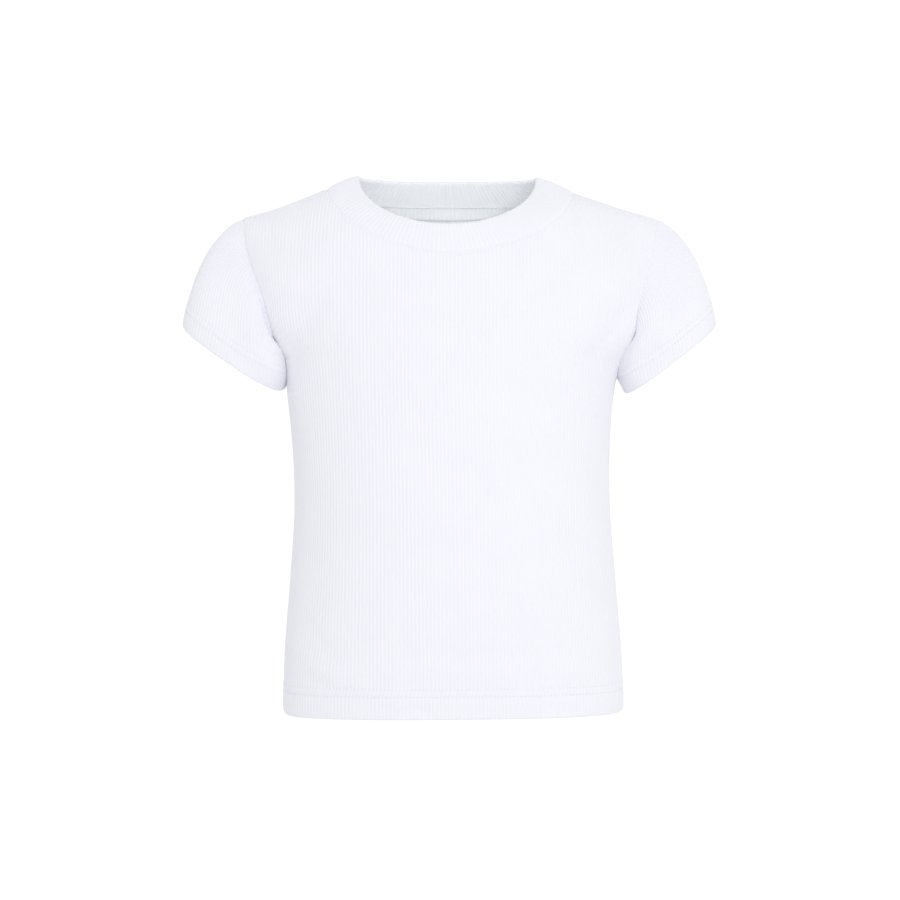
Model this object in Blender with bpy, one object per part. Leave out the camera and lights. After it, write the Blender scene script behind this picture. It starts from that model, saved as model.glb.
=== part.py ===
"""A child's short-sleeved ribbed t-shirt, filled out as if worn.

Metres, +Z up, the front faces -Y and the wearer's left is +X. The origin lies on the centre plane at the
height of the neck points, where the shoulder seams meet the neckband.

Every cloth piece is a wall. Its outer skin has one column of points on each rib and one in each groove,
and its inner skin is plain. The body is described by level curves (what a horizontal cut would show),
and each panel's ribs are lines of constant share u across the panel, from -1 at the wearer's right side
seam or armhole to +1 at the left. Pieces that are sewn together share one seam line and one direction
through the wall there, and each stands back from the line by half of the seam gap.
"""

import math

import bmesh
import bpy
import numpy as np

# ---------------------------------------------------------------- driving sizes, in metres
BODY_LENGTH = 0.385  # neck point to hem
RIB_RELIEF = 0.0006  # how far a rib stands above its groove
WALL = 0.0012  # cloth, measured at a groove
HEM_WALL = 0.0024  # cloth turned up on itself
BAND_WALL = 0.0024  # the neckband is cut double and folded
SEAM_GAP = 0.0003  # daylight between pieces that are sewn together
HEM_DEPTH = 0.021
CUFF_HEM_DEPTH = 0.018
HEM_STEP = 0.0006  # height over which the turned-up layer ends

RIBS_PER_PANEL = 120  # front, and as many on the back
RIBS_PER_SLEEVE = 94
BAND_RIBS_FRONT = 74
BAND_RIBS_BACK = 66
INNER_EVERY = 8  # a panel's plain inner skin has a column for every eighth one outside
NECK_EXTRA = (2, 4, 6, 12)  # and more of them this many columns past each neck point, where it bends

HEM_Z = -BODY_LENGTH
UNDERARM_Z = -0.128
NECK_HALF = 0.0907  # half the width between the neck points, along the neckband seam
SHOULDER_HALF = 0.1530  # half the width between the shoulder points
SHOULDER_FALL = 0.355  # drop of the shoulder seam for each metre outwards
SHOULDER_Z = -(SHOULDER_HALF - NECK_HALF) * SHOULDER_FALL
NECK_SHARE = 0.6  # share of the panel's half width that ends at the neckband
CLOTH_HALF = 0.166  # half the panel's width where the ribs are neither stretched nor squeezed
EDGE_EASE = 4.0  # stretch gathers near the panel's edges: higher keeps the middle ribs more even

# The shape of the filled-out body, a row for each level. "round" is the exponent of the outline seen
# from above: 2 is an ellipse, and more is squarer. "lean" is how far the level's centre stands towards +X.
BODY = np.array(
    [
        (-0.385, 0.1258, 0.0880, 0.0740, 2.60, 0.0026),
        (-0.340, 0.1236, 0.0910, 0.0705, 2.45, 0.0024),
        (-0.290, 0.1198, 0.0920, 0.0670, 2.25, 0.0021),
        (-0.230, 0.1160, 0.0885, 0.0680, 2.20, 0.0016),
        (-0.185, 0.1170, 0.0840, 0.0715, 2.20, 0.0009),
        (-0.156, 0.1198, 0.0800, 0.0740, 2.20, 0.0003),
        (-0.140, 0.1228, 0.0780, 0.0745, 2.20, 0.0000),
        (-0.128, 0.1262, 0.0765, 0.0745, 2.20, 0.0000),
        (-0.115, 0.1335, 0.0740, 0.0740, 2.20, 0.0000),
        (-0.100, 0.1425, 0.0710, 0.0725, 2.20, 0.0000),
        (-0.080, 0.1520, 0.0665, 0.0700, 2.20, 0.0000),
        (-0.060, 0.1580, 0.0600, 0.0665, 2.20, 0.0000),
        (-0.040, 0.1610, 0.0545, 0.0620, 2.20, 0.0000),
        (-0.022, 0.1620, 0.0510, 0.0580, 2.20, 0.0000),
        (0.0, 0.1620, 0.0460, 0.0520, 2.20, 0.0000),
        (0.030, 0.1620, 0.0400, 0.0470, 2.20, 0.0000),
    ],
    dtype=[
        (name, float) for name in ("height", "half_breadth", "front_depth", "back_depth", "round", "lean")
    ],
)
FRONT_SHOULDER_ROLL = 0.060  # height over which the front turns back to the shoulder seam
BACK_SHOULDER_ROLL = 0.045

# Half the width between the armhole seams, seen from the front and from the back.
ARMHOLE = np.array(
    [
        (-0.128, 0.1262, 0.1262),
        (-0.122, 0.1284, 0.1288),
        (-0.115, 0.1308, 0.1318),
        (-0.100, 0.1345, 0.1368),
        (-0.080, 0.1400, 0.1428),
        (-0.060, 0.1455, 0.1478),
        (-0.040, 0.1503, 0.1515),
        (SHOULDER_Z, SHOULDER_HALF, SHOULDER_HALF),
    ],
    dtype=[(name, float) for name in ("height", "front", "back")],
)

# The neckline seam and the neckband's top edge, a row for each half. "seam_round" and "top_round" shape the
# curve seen from the front, and "plan_round" the top edge seen from above.
NECK = np.array(
    [
        (-1, 0.0503, 1.75, 0.0500, -0.0293, 1.95, 2.15),
        (1, 0.0093, 2.00, 0.0420, 0.0082, 2.00, 2.10),
    ],
    dtype=[
        (name, float)
        for name in ("side", "seam_drop", "seam_round", "top_depth", "top_height", "top_round", "plan_round")
    ],
)
BAND_TOP_RIGHT = 0.0678  # the top edge's reach from the centre plane, at the wearer's right
BAND_TOP_LEFT = 0.0640
BAND_TOP_Z = 0.0100  # height of the neckband's top edge above the neck points

# The sleeves, a row for each. Corners are the ends of the cuff's edge, seen from the front.
SLEEVES = np.array(
    [
        (-1, 0.1964, -0.0989, 0.1252, -0.1480, 0.0390, 0.0052),
        (1, 0.1960, -0.0985, 0.1305, -0.1495, 0.0390, 0.0035),
    ],
    dtype=[
        (name, float)
        for name in ("side", "outer_x", "outer_z", "inner_x", "inner_z", "half_depth", "front_fall")
    ],
)
SLEEVE_START_TOP = (0.89, 0.0, -0.45)  # which way the cloth leaves the armhole, for a sleeve at +X
SLEEVE_START_UNDER = (0.60, 0.0, -0.80)
SLEEVE_START_SWELL = 0.32
SLEEVE_END = (0.20, 0.10, -0.97)
SLEEVE_PULL = 1.08  # length of the curve's handles, as a share of the straight distance

# How the shirt has settled: its shoulders lie a little lower than two straight lines, the wearer's left
# one more, and its hem rises towards the wearer's left.
SETTLE = np.array(
    [
        (-0.170, 0.0000),
        (-0.153, 0.0000),
        (-0.130, 0.0016),
        (-0.108, 0.0013),
        (-0.090, 0.0003),
        (-0.060, 0.0000),
        (0.040, 0.0000),
        (0.068, 0.0014),
        (0.090, 0.0028),
        (0.112, 0.0026),
        (0.134, 0.0018),
        (0.153, 0.0004),
        (0.170, 0.0000),
    ],
    dtype=[(name, float) for name in ("across", "drop")],
)
SETTLE_FROM = -0.080  # level where the shoulders begin to settle
SETTLE_FULL = -0.020
HEM_RISE = 0.0011  # at the side seam
HEM_RISE_FROM = -0.300

TAPE_WIDTH = 0.0105
TAPE_WALL = 0.0008
TAPE_GAP = 0.0005
TAPE_START = 0.0012  # below the neckband seam
TAPE_COLUMNS = 8  # how many of the back's inner columns it reaches to either side

# Rows of points up a panel: heights up to the underarm, then shares of what is left of each rib.
LOWER_LEVELS = (HEM_Z, -0.305, -0.225, -0.163, UNDERARM_Z)
UPPER_SHARES = (0.22, 0.43, 0.62, 0.77, 0.89, 1.0)
ARMHOLE_SHARES = (0.04, 0.09, 0.15, 0.22, 0.32, 0.46, 0.64, 0.82, 1.0)  # the panels' edges there are finer
SLEEVE_SHARES = (0.0, 0.36, 0.70, 1.0)  # of the way from the armhole to the cuff

LEVEL_POINTS = 120  # points on a level curve while it is measured
STEP = 0.0004  # short distance used to find which way a surface faces
COTTON = (0.86, 0.865, 0.90, 1.0)


# ---------------------------------------------------------------- small tools
def unit(vectors):
    vectors = np.asarray(vectors, float)
    return vectors / np.linalg.norm(vectors, axis=-1, keepdims=True)


def smooth(table, column, height):
    """A smooth curve through a table's rows, read at some places of its first column."""
    known, value = table[table.dtype.names[0]], table[column]
    slope = np.gradient(value, known)
    height = np.clip(height, known[0], known[-1])
    below = np.clip(np.searchsorted(known, height) - 1, 0, len(known) - 2)
    span = known[below + 1] - known[below]
    t = (height - known[below]) / span
    return (
        (2 * t**3 - 3 * t**2 + 1) * value[below]
        + (t**3 - 2 * t**2 + t) * span * slope[below]
        + (3 * t**2 - 2 * t**3) * value[below + 1]
        + (t**3 - t**2) * span * slope[below + 1]
    )


def lengths(points):
    """Distance along a line of points, from its first."""
    steps = np.linalg.norm(np.diff(points, axis=0), axis=1)
    return np.concatenate([[0.0], np.cumsum(steps)])


def along(points, shares):
    """Points at given shares of a line's length."""
    run = lengths(points)
    return np.stack([np.interp(np.asarray(shares) * run[-1], run, points[:, k]) for k in range(3)], axis=-1)


def read_rows(at, known, values):
    """Reads each row of a table at its own place, in a straight line between the row's known places."""
    row = np.arange(len(at))
    k = np.clip((known <= at[:, None]).sum(axis=1) - 1, 0, known.shape[1] - 2)
    low, high = known[row, k], known[row, k + 1]
    t = np.clip((at - low) / np.maximum(high - low, 1e-12), 0, 1)
    return values[row, k] * (1 - t) + values[row, k + 1] * t


# ---------------------------------------------------------------- the filled-out body
def side_name(side):
    return "front" if side < 0 else "back"


def shoulder_height(x):
    return (NECK_HALF - np.abs(x)) * SHOULDER_FALL


def shoulder_reach(z):
    return NECK_HALF - z / SHOULDER_FALL


def level_curves(side, z):
    """A panel's level curves from the centre to the side, a row for each level: x, y and length so far."""
    z = z[:, None]
    breadth = smooth(BODY, "half_breadth", z)
    depth = smooth(BODY, side_name(side) + "_depth", z)
    roundness = smooth(BODY, "round", z)
    roll = FRONT_SHOULDER_ROLL if side < 0 else BACK_SHOULDER_ROLL
    reach = np.where(z <= SHOULDER_Z, breadth, shoulder_reach(z))
    x = reach * np.sin(np.linspace(0, math.pi / 2, LEVEL_POINTS))
    outline = np.clip(1 - (x / breadth) ** roundness, 0, 1) ** (1 / roundness)
    below_seam = np.clip((shoulder_height(x) - z) / roll, 0, 1)
    y = side * depth * outline * np.sqrt(1 - (1 - below_seam) ** 2)
    steps = np.hypot(np.diff(x), np.diff(y))
    return x, y, np.hstack([np.zeros_like(z), np.cumsum(steps, axis=1)])


def panel_edge(side, z):
    """Where the panel ends at some levels: distance from the centre plane, and the share u there."""
    sewn_to_neck = z > SHOULDER_Z
    armhole = np.where(z > UNDERARM_Z, smooth(ARMHOLE, side_name(side), z), smooth(BODY, "half_breadth", z))
    x = np.where(sewn_to_neck, shoulder_reach(z), armhole)
    beyond = (x - NECK_HALF) / (SHOULDER_HALF - NECK_HALF)
    return x, np.where(sewn_to_neck, NECK_SHARE + (1 - NECK_SHARE) * beyond, 1.0)


def body_point(side, u, z):
    """Points of a panel, each on its own rib u and at its own level z."""
    u, z = np.broadcast_arrays(np.asarray(u, float), np.asarray(z, float))
    shape, u, z = u.shape, u.ravel(), z.ravel()
    x, y, run = level_curves(side, z)
    edge_x, edge_u = panel_edge(side, z)
    share = np.abs(u) / edge_u
    even = CLOTH_HALF * edge_u
    distance = even * share + (read_rows(edge_x, x, run) - even) * share**EDGE_EASE
    across = np.sign(u) * read_rows(distance, run, x) + smooth(BODY, "lean", z)
    return np.stack([across, read_rows(distance, run, y), z], axis=-1).reshape(*shape, 3)


def neckline_reach(side, z):
    """Half the neckline's width at some levels."""
    row = NECK[0] if side < 0 else NECK[1]
    fall = np.clip(-z / row["seam_drop"], 0, 1)
    return NECK_HALF * (1 - fall ** row["seam_round"]) ** (1 / row["seam_round"])


def rib_top(side, u):
    """The levels where some ribs end, at the shoulder seam or at the neckline."""
    u = np.abs(np.asarray(u, float))
    beyond = (u - NECK_SHARE) / (1 - NECK_SHARE)
    at_shoulder = shoulder_height(NECK_HALF + beyond * (SHOULDER_HALF - NECK_HALF))
    row = NECK[0] if side < 0 else NECK[1]
    low, high = np.full(u.shape, -row["seam_drop"]), np.zeros(u.shape)
    for _ in range(36):
        middle = (low + high) / 2
        wide = body_point(side, u, middle)[..., 0] > neckline_reach(side, middle)
        low, high = np.where(wide, middle, low), np.where(wide, high, middle)
    return np.where(u >= NECK_SHARE, at_shoulder, (low + high) / 2)


def rib_levels(side, u, shares):
    """For each rib, the levels at given shares of its length between the underarm's level and its top."""
    top = rib_top(side, u)
    t = np.linspace(0, 1, 40)[:, None]
    levels = UNDERARM_Z + (top - UNDERARM_Z) * (1 - (1 - t) ** 2)
    points = body_point(side, u[None, :], levels)
    steps = np.linalg.norm(np.diff(points, axis=0), axis=2)
    run = np.vstack([np.zeros_like(steps[:1]), np.cumsum(steps, axis=0)])
    return np.array([read_rows(share * run[-1], run.T, levels.T) for share in shares])


def body_normal(side, u, z):
    """Which way a panel faces at some points."""
    u, z = np.broadcast_arrays(np.asarray(u, float), np.asarray(z, float))
    top = np.where(np.abs(u) >= NECK_SHARE, rib_top(side, u), 1.0)
    edge = panel_edge(side, z)[1]
    du = 0.5 / RIBS_PER_PANEL
    right = body_point(side, np.minimum(u + du, edge), z) - body_point(side, np.maximum(u - du, -edge), z)
    up = body_point(side, u, np.minimum(z + STEP, top)) - body_point(side, u, z - STEP)
    return unit(-side * np.cross(right, up))


# ---------------------------------------------------------------- seams
def armhole_levels(side):
    return np.concatenate([[UNDERARM_Z], rib_levels(side, np.array([1.0]), ARMHOLE_SHARES)[:, 0]])


def sleeve_start(hand, turn):
    """Which way a sleeve leaves the armhole. turn is 0 at the shoulder, 0.25 in front and 0.5 underneath."""
    low = (1 - np.cos(2 * math.pi * turn))[:, None] / 2
    start = (1 - low) * SLEEVE_START_TOP + low * SLEEVE_START_UNDER
    start[:, 1] -= SLEEVE_START_SWELL * np.sin(2 * math.pi * turn)
    return unit(start * (hand, 1, 1))


def armhole_loop(hand):
    """The armhole seam's stations, from the shoulder down the front and up the back: points, the way through
    the wall, and each one's turn. The sleeve and both panels are straight between them."""
    front, back = armhole_levels(-1)[::-1], armhole_levels(1)
    points = np.vstack([body_point(-1, hand, front), body_point(1, hand, back[1:])])
    half = len(front) - 1
    run_front, run_back = lengths(points[: half + 1]), lengths(points[half:])
    turns = np.concatenate([0.5 * run_front / run_front[-1], 0.5 + 0.5 * run_back[1:] / run_back[-1]])
    ahead, behind = np.roll(points[:-1], -1, axis=0), np.roll(points[:-1], 1, axis=0)
    seam_way = unit(ahead - behind)
    seam_way = np.vstack([seam_way, seam_way[:1]])
    panel = np.vstack([body_normal(-1, hand, front), body_normal(1, hand, back[1:])])
    panel[half] = unit(panel[half] + body_normal(1, hand, back[0]))
    panel[0] = panel[-1] = unit(panel[0] + panel[-1])
    sleeve = unit(hand * np.cross(seam_way, sleeve_start(hand, turns)))
    return points, unit(sleeve + panel), turns


def band_edge(side, shares):
    """Points of the neckband's top edge, at shares of its length from one side to the other."""
    row = NECK[0] if side < 0 else NECK[1]
    across = -np.cos(np.linspace(0, math.pi, 4 * LEVEL_POINTS))
    x = across * np.where(across < 0, BAND_TOP_RIGHT, BAND_TOP_LEFT)
    inside = np.clip(np.abs(across), 0, 1)
    y = side * row["top_depth"] * (1 - inside ** row["plan_round"]) ** (1 / row["plan_round"])
    drop = (1 - inside ** row["top_round"]) ** (1 / row["top_round"])
    z = BAND_TOP_Z + (row["top_height"] - BAND_TOP_Z) * drop
    return along(np.stack([x, y, z], axis=1), shares)


def neckline(side):
    """The neckline seam's points from -X to +X, one for each rib and groove, and the way the panel faces."""
    last = round(NECK_SHARE * RIBS_PER_PANEL)
    shares = np.arange(-last, last + 1) / RIBS_PER_PANEL
    tops = rib_top(side, shares)
    return body_point(side, shares, tops), body_normal(side, shares, tops)


def inner_columns():
    """Which of a panel's columns its inner skin has."""
    last = 2 * RIBS_PER_PANEL
    corner = round((1 - NECK_SHARE) * RIBS_PER_PANEL)
    extra = {corner + step for step in NECK_EXTRA} | {last - corner - step for step in NECK_EXTRA}
    return np.array(sorted({*range(0, last + 1, INNER_EVERY)} | extra))


def half_neck_seam(side):
    points, panel = neckline(side)
    run = lengths(points) / lengths(points)[-1]
    seam_way = unit(np.gradient(points, axis=0))
    band = unit(-side * np.cross(seam_way, band_edge(side, run) - points))
    return points, unit(band + panel), run


def neck_seam(side):
    """The neckline seam's points, the way through the wall, and the share of its length at each."""
    points, facing, run = half_neck_seam(side)
    other = half_neck_seam(-side)[1]
    facing[[0, -1]] = unit(facing[[0, -1]] + other[[0, -1]])
    return points, facing, run


# ---------------------------------------------------------------- building walls
def stand_back(edge, facing, inside):
    """Moves a seam's points off the seam line by half of the gap, towards the points inside the piece."""
    way = np.gradient(edge, axis=0)
    off = unit(np.cross(way, facing))
    off *= np.sign((off * (inside - edge)).sum(axis=1, keepdims=True))
    return edge + off * SEAM_GAP / 2


def skin_faces(bm, rows, closed=False):
    """Quads between neighbouring rows of vertices."""
    for low, high in zip(rows, rows[1:]):
        count = len(low) if closed else len(low) - 1
        for k in range(count):
            after = (k + 1) % len(low)
            bm.faces.new((low[k], low[after], high[after], high[k]))


def rim_faces(bm, one, other, closed=False):
    """Triangles that join two edges with different numbers of vertices."""
    one, other = list(one), list(other)
    if closed:
        one.append(one[0])
        other.append(other[0])
    shares = [lengths(np.array([v.co for v in edge])) for edge in (one, other)]
    shares = [run / run[-1] for run in shares]
    i = k = 0
    while i < len(one) - 1 or k < len(other) - 1:
        step_one = k == len(other) - 1 or (
            i < len(one) - 1 and shares[0][i] + shares[0][i + 1] <= shares[1][k] + shares[1][k + 1]
        )
        if step_one:
            bm.faces.new((one[i], one[i + 1], other[k]))
            i += 1
        else:
            bm.faces.new((one[i], other[k + 1], other[k]))
            k += 1


def settle(points):
    """Lowers the shoulders and tilts the hem by the small amounts in SETTLE and HEM_RISE."""
    x, z = points[..., 0], points[..., 2]
    t = np.clip((z - SETTLE_FROM) / (SETTLE_FULL - SETTLE_FROM), 0, 1)
    tilt = np.clip((HEM_RISE_FROM - z) / (HEM_RISE_FROM - HEM_Z), 0, 1)
    moved = points.copy()
    moved[..., 2] += HEM_RISE * x / BODY["half_breadth"][0] * tilt
    moved[..., 2] -= smooth(SETTLE, "drop", x) * t * t * (3 - 2 * t)
    return moved


def add_row(bm, line):
    return [bm.verts.new(point) for point in settle(line)]


def add_rows(bm, grid):
    return [add_row(bm, line) for line in grid]


def finish_piece(bm, name, collection):
    """Turns a closed bmesh into a named object with faces outwards."""
    bmesh.ops.recalc_face_normals(bm, faces=bm.faces)
    mesh = bpy.data.meshes.new(name)
    bm.to_mesh(mesh)
    bm.free()
    mesh.shade_smooth()
    mesh.set_sharp_from_angle(angle=math.radians(50))
    mesh.materials.append(knit(name + "_knit"))
    piece = bpy.data.objects.new(name, mesh)
    collection.objects.link(piece)
    return piece


def open_wall(name, collection, outer, inner):
    """A closed solid from an outer and an inner grid of points that are open all round."""
    bm = bmesh.new()
    outside, inside = add_rows(bm, outer), add_rows(bm, inner)
    skin_faces(bm, outside)
    skin_faces(bm, inside)
    rim_faces(bm, outside[0], inside[0])
    rim_faces(bm, outside[-1], inside[-1])
    rim_faces(bm, [row[0] for row in outside], [row[0] for row in inside])
    rim_faces(bm, [row[-1] for row in outside], [row[-1] for row in inside])
    return finish_piece(bm, name, collection)


def ring_wall(name, collection, outer, inner):
    """A closed solid from an outer and an inner grid of points that close on themselves sideways."""
    bm = bmesh.new()
    outside, inside = add_rows(bm, outer), add_rows(bm, inner)
    skin_faces(bm, outside, closed=True)
    skin_faces(bm, inside, closed=True)
    rim_faces(bm, outside[0], inside[0], closed=True)
    rim_faces(bm, outside[-1], inside[-1], closed=True)
    return finish_piece(bm, name, collection)


def ribbed(points, facing, first=0):
    """Raises every second column of a grid of points. first is the number of the grid's first column."""
    raised = (np.arange(points.shape[1]) + first) % 2 * RIB_RELIEF
    return points + facing * raised[None, :, None]


# ---------------------------------------------------------------- the pieces
def panel_grid(side):
    """A panel's rows and columns of points on its outer face between the side edges, and the way through
    the wall at each."""
    shares = np.arange(-RIBS_PER_PANEL, RIBS_PER_PANEL + 1) / RIBS_PER_PANEL
    lower = np.repeat(np.array(LOWER_LEVELS)[:, None], len(shares), axis=1)
    levels = np.vstack([lower, rib_levels(side, shares, UPPER_SHARES)])
    points = body_point(side, shares[None, :], levels)
    facing = body_normal(side, shares[None, :], levels)
    sewn = np.abs(shares) >= NECK_SHARE  # to the other panel, at the shoulders
    facing[-1, sewn] = unit(facing[-1, sewn] + body_normal(-side, shares[sewn], levels[-1, sewn]))
    first = round((1 - NECK_SHARE) * RIBS_PER_PANEL)
    neck_facing = neck_seam(side)[1]
    facing[-1, first : first + len(neck_facing)] = neck_facing
    for hand, column in ((-1, 0), (1, -1)):
        facing[-1, column] = armhole_loop(hand)[1][0]
    points[-1] = stand_back(points[-1], facing[-1], points[-2])
    return points[:, 1:-1], facing[:, 1:-1], points[-1, [0, -1]]


def panel_edge_line(side, hand, corner, neighbour):
    """A panel's side edge, up the side seam and on up the armhole: points and the way through the wall."""
    seam = np.array(LOWER_LEVELS[:-1])
    points, facing = body_point(side, hand, seam), body_normal(side, hand, seam)
    facing = unit(facing + body_normal(-side, hand, seam))
    loop, loop_facing, _ = armhole_loop(hand)
    half = len(ARMHOLE_SHARES)
    loop, loop_facing = (part[half::-1] if side < 0 else part[half:] for part in (loop, loop_facing))
    points, facing = np.vstack([points, loop]), np.vstack([facing, loop_facing])
    run, near_run = lengths(points), lengths(neighbour)
    inside = along(neighbour, run / run[-1])
    points = stand_back(points, facing, inside)
    points[-1] += corner - loop[-1]
    return points, facing


def turn_up(points, facing, depth):
    """The inner skin of a piece whose first row is a turned-up hem: thick up to the hem line, then thin."""
    up = unit(points[1] - points[0])
    thick = [points[0] - facing[0] * HEM_WALL, points[0] + up * (depth - HEM_STEP) - facing[0] * HEM_WALL]
    thin = [points[0] + up * depth - facing[0] * WALL]
    return np.concatenate([np.array(thick + thin), points[1:] - facing[1:] * WALL])


def make_panel(side, collection):
    points, facing, corners = panel_grid(side)
    columns = inner_columns()[1:-1] - 1
    inner = turn_up(points[:, columns], facing[:, columns], HEM_DEPTH)
    bm = bmesh.new()
    outside, inside = add_rows(bm, ribbed(points, facing, first=1)), add_rows(bm, inner)
    skin_faces(bm, outside)
    skin_faces(bm, inside)
    hems, tops = [outside[0]], [outside[-1]]
    inner_hems, inner_tops = [inside[0]], [inside[-1]]
    for hand, column in ((-1, 0), (1, -1)):
        edge, edge_facing = panel_edge_line(side, hand, corners[column], points[:, column])
        outer_edge = add_row(bm, edge)
        inner_edge = add_row(bm, turn_up(edge, edge_facing, HEM_DEPTH))
        rim_faces(bm, outer_edge, [row[column] for row in outside])
        rim_faces(bm, inner_edge, [row[column] for row in inside])
        rim_faces(bm, outer_edge, inner_edge)
        for rows, end in ((hems, outer_edge[0]), (inner_hems, inner_edge[0])):
            rows[0] = [end, *rows[0]] if hand < 0 else [*rows[0], end]
        for rows, end in ((tops, outer_edge[-1]), (inner_tops, inner_edge[-1])):
            rows[0] = [end, *rows[0]] if hand < 0 else [*rows[0], end]
    rim_faces(bm, hems[0], inner_hems[0])
    rim_faces(bm, tops[0], inner_tops[0])
    return finish_piece(bm, side_name(side) + "_panel", collection)


def seam_columns(columns, known, *values):
    """Reads the points along a seam, and the way through the wall, at some columns."""
    return [np.stack([np.interp(columns, known, value[:, k]) for k in range(3)], axis=1) for value in values]


def cuff_edge(row, turn):
    """Points on the edge of a sleeve's cuff."""
    hand = row["side"]
    outer = np.array([hand * row["outer_x"], 0, row["outer_z"]])
    inner = np.array([hand * row["inner_x"], 0, row["inner_z"]])
    across = (outer - inner) / 2
    down = unit(np.array([-across[2] * hand, 0, across[0] * hand])) * -1
    front = np.array([0, -row["half_depth"], 0]) + down * row["front_fall"]
    angle = 2 * math.pi * turn[:, None]
    return (outer + inner) / 2 + np.cos(angle) * across + np.sin(angle) * front


def sleeve_ribs(row, start, turn, t):
    """The line of each of a sleeve's ribs, from the armhole at t = 0 to the cuff at t = 1."""
    hand = row["side"]
    end = cuff_edge(row, turn)
    pull = SLEEVE_PULL * np.linalg.norm(end - start, axis=1, keepdims=True)
    leave = sleeve_start(hand, turn) * pull
    arrive = unit(np.array(SLEEVE_END) * (hand, 1, 1)) * pull
    t = t[:, None, None]
    return (
        (2 * t**3 - 3 * t**2 + 1) * start
        + (t**3 - 2 * t**2 + t) * leave
        + (3 * t**2 - 2 * t**3) * end
        + (t**3 - t**2) * arrive
    )


def sleeve_grid(row, turns, hem=0.0):
    """Points of a sleeve on its outer face and the way through the wall, from the cuff up to the armhole,
    for columns at some turns about the arm. The inner skin also needs a row where the hem ends."""
    hand = row["side"]
    loop, loop_facing, loop_turns = armhole_loop(hand)
    start, start_facing = seam_columns(turns, loop_turns, loop, loop_facing)
    start_facing = unit(start_facing)
    fine = sleeve_ribs(row, start, turns, np.linspace(0, 1, 40))
    points = []
    for column in range(len(turns)):
        shares = list(SLEEVE_SHARES)
        if hem:
            reach = lengths(fine[:, column])[-1]
            shares = [(1 - hem / max(reach, 1.12 * hem)) * share for share in SLEEVE_SHARES] + [1.0]
        points.append(along(fine[:, column], shares))
    points = np.array(points).transpose(1, 0, 2)[::-1]

    around = np.roll(points, -1, axis=1) - np.roll(points, 1, axis=1)
    upward = np.gradient(points, axis=0)
    facing = unit(hand * np.cross(upward, around))
    facing[-1] = start_facing
    closed = [np.vstack([line[-1:], line, line[:1]]) for line in (points[-1], start_facing, points[-2])]
    points[-1] = stand_back(*closed)[1:-1]
    return points, facing


def make_sleeve(row, collection):
    name = "left_sleeve" if row["side"] > 0 else "right_sleeve"
    outer = ribbed(*sleeve_grid(row, np.arange(2 * RIBS_PER_SLEEVE) / (2 * RIBS_PER_SLEEVE)))
    stations = armhole_loop(row["side"])[2][:-1]
    inner = turn_up(*sleeve_grid(row, stations, hem=CUFF_HEM_DEPTH), CUFF_HEM_DEPTH)
    return ring_wall(name, collection, outer, inner)


def band_grid(shares_of):
    """Points of the neckband on its outer face and the way through the wall, from the seam up to the top
    edge. shares_of gives the columns' places along each half of the seam, from -X to +X."""
    seam, seam_facing, top = [], [], []
    for side, shares in ((-1, shares_of[-1][:-1]), (1, shares_of[1][:0:-1])):
        line, line_facing, run = neck_seam(side)
        here, here_facing = seam_columns(shares, run, line, line_facing)
        seam.append(here)
        seam_facing.append(unit(here_facing))
        top.append(band_edge(side, shares))
    seam, seam_facing, top = (np.vstack(part) for part in (seam, seam_facing, top))
    around = np.roll(seam, -1, axis=0) - np.roll(seam, 1, axis=0)
    facing = unit(np.cross(around, top - seam))
    closed = [np.vstack([line[-1:], line, line[:1]]) for line in (seam, seam_facing, top)]
    return np.array([stand_back(*closed)[1:-1], top]), np.array([seam_facing, facing])


def make_band(collection):
    ribs = {-1: BAND_RIBS_FRONT, 1: BAND_RIBS_BACK}
    outer = ribbed(*band_grid({side: np.arange(2 * count + 1) / (2 * count) for side, count in ribs.items()}))
    corner, columns = round((1 - NECK_SHARE) * RIBS_PER_PANEL), inner_columns()
    sewn = columns[(columns >= corner) & (columns <= 2 * RIBS_PER_PANEL - corner)] - corner
    points, facing = band_grid({side: neck_seam(side)[2][sewn] for side in ribs})
    return ring_wall("neckband", collection, outer, points - facing * BAND_WALL)


def make_tape(collection):
    """The tape that covers the neckband's seam inside the back. It lies on the back's inner skin."""
    points, facing, _ = panel_grid(1)
    middle, wide = RIBS_PER_PANEL - 1, TAPE_COLUMNS * INNER_EVERY
    points, facing = (part[-2:, middle - wide : middle + wide + 1 : INNER_EVERY] for part in (points, facing))
    inner = points - facing * WALL
    reach = np.linalg.norm(inner[1] - inner[0], axis=1)[:, None]
    rows = []
    for distance in (TAPE_START + TAPE_WIDTH, TAPE_START):
        share = 1 - distance / reach
        away = unit(facing[0] * (1 - share) + facing[1] * share)
        rows.append((inner[0] * (1 - share) + inner[1] * share - away * TAPE_GAP, away))
    near = np.array([row for row, _ in rows])
    away = np.array([away for _, away in rows])
    return open_wall("neck_tape", collection, near, near - away * TAPE_WALL)


# ---------------------------------------------------------------- material and scene
def knit(name):
    """White cotton rib knit, as a material of the piece's own."""
    material = bpy.data.materials.new(name)
    material.use_nodes = True
    shader = material.node_tree.nodes["Principled BSDF"]
    shader.inputs["Base Color"].default_value = COTTON
    shader.inputs["Roughness"].default_value = 0.85
    shader.inputs["Metallic"].default_value = 0.0
    return material


def main():
    for obj in list(bpy.data.objects):
        bpy.data.objects.remove(obj)
    collection = bpy.data.collections.new("ribbed_t_shirt")
    bpy.context.scene.collection.children.link(collection)
    for side in (-1, 1):
        make_panel(side, collection)
    for row in SLEEVES:
        make_sleeve(row, collection)
    make_band(collection)
    make_tape(collection)


main()
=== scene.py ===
# %% [markdown]
# # A child's ribbed t-shirt
# The shirt is shown filled out, as if somebody wore it: it hangs from its shoulder line and its neck, hem
# and cuffs are open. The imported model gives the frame: +Z is up, the front faces -Y, and the origin lies
# between the two neck points. This lesson puts soft ribbed cloth over each of the model's solid walls.

import math

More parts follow.
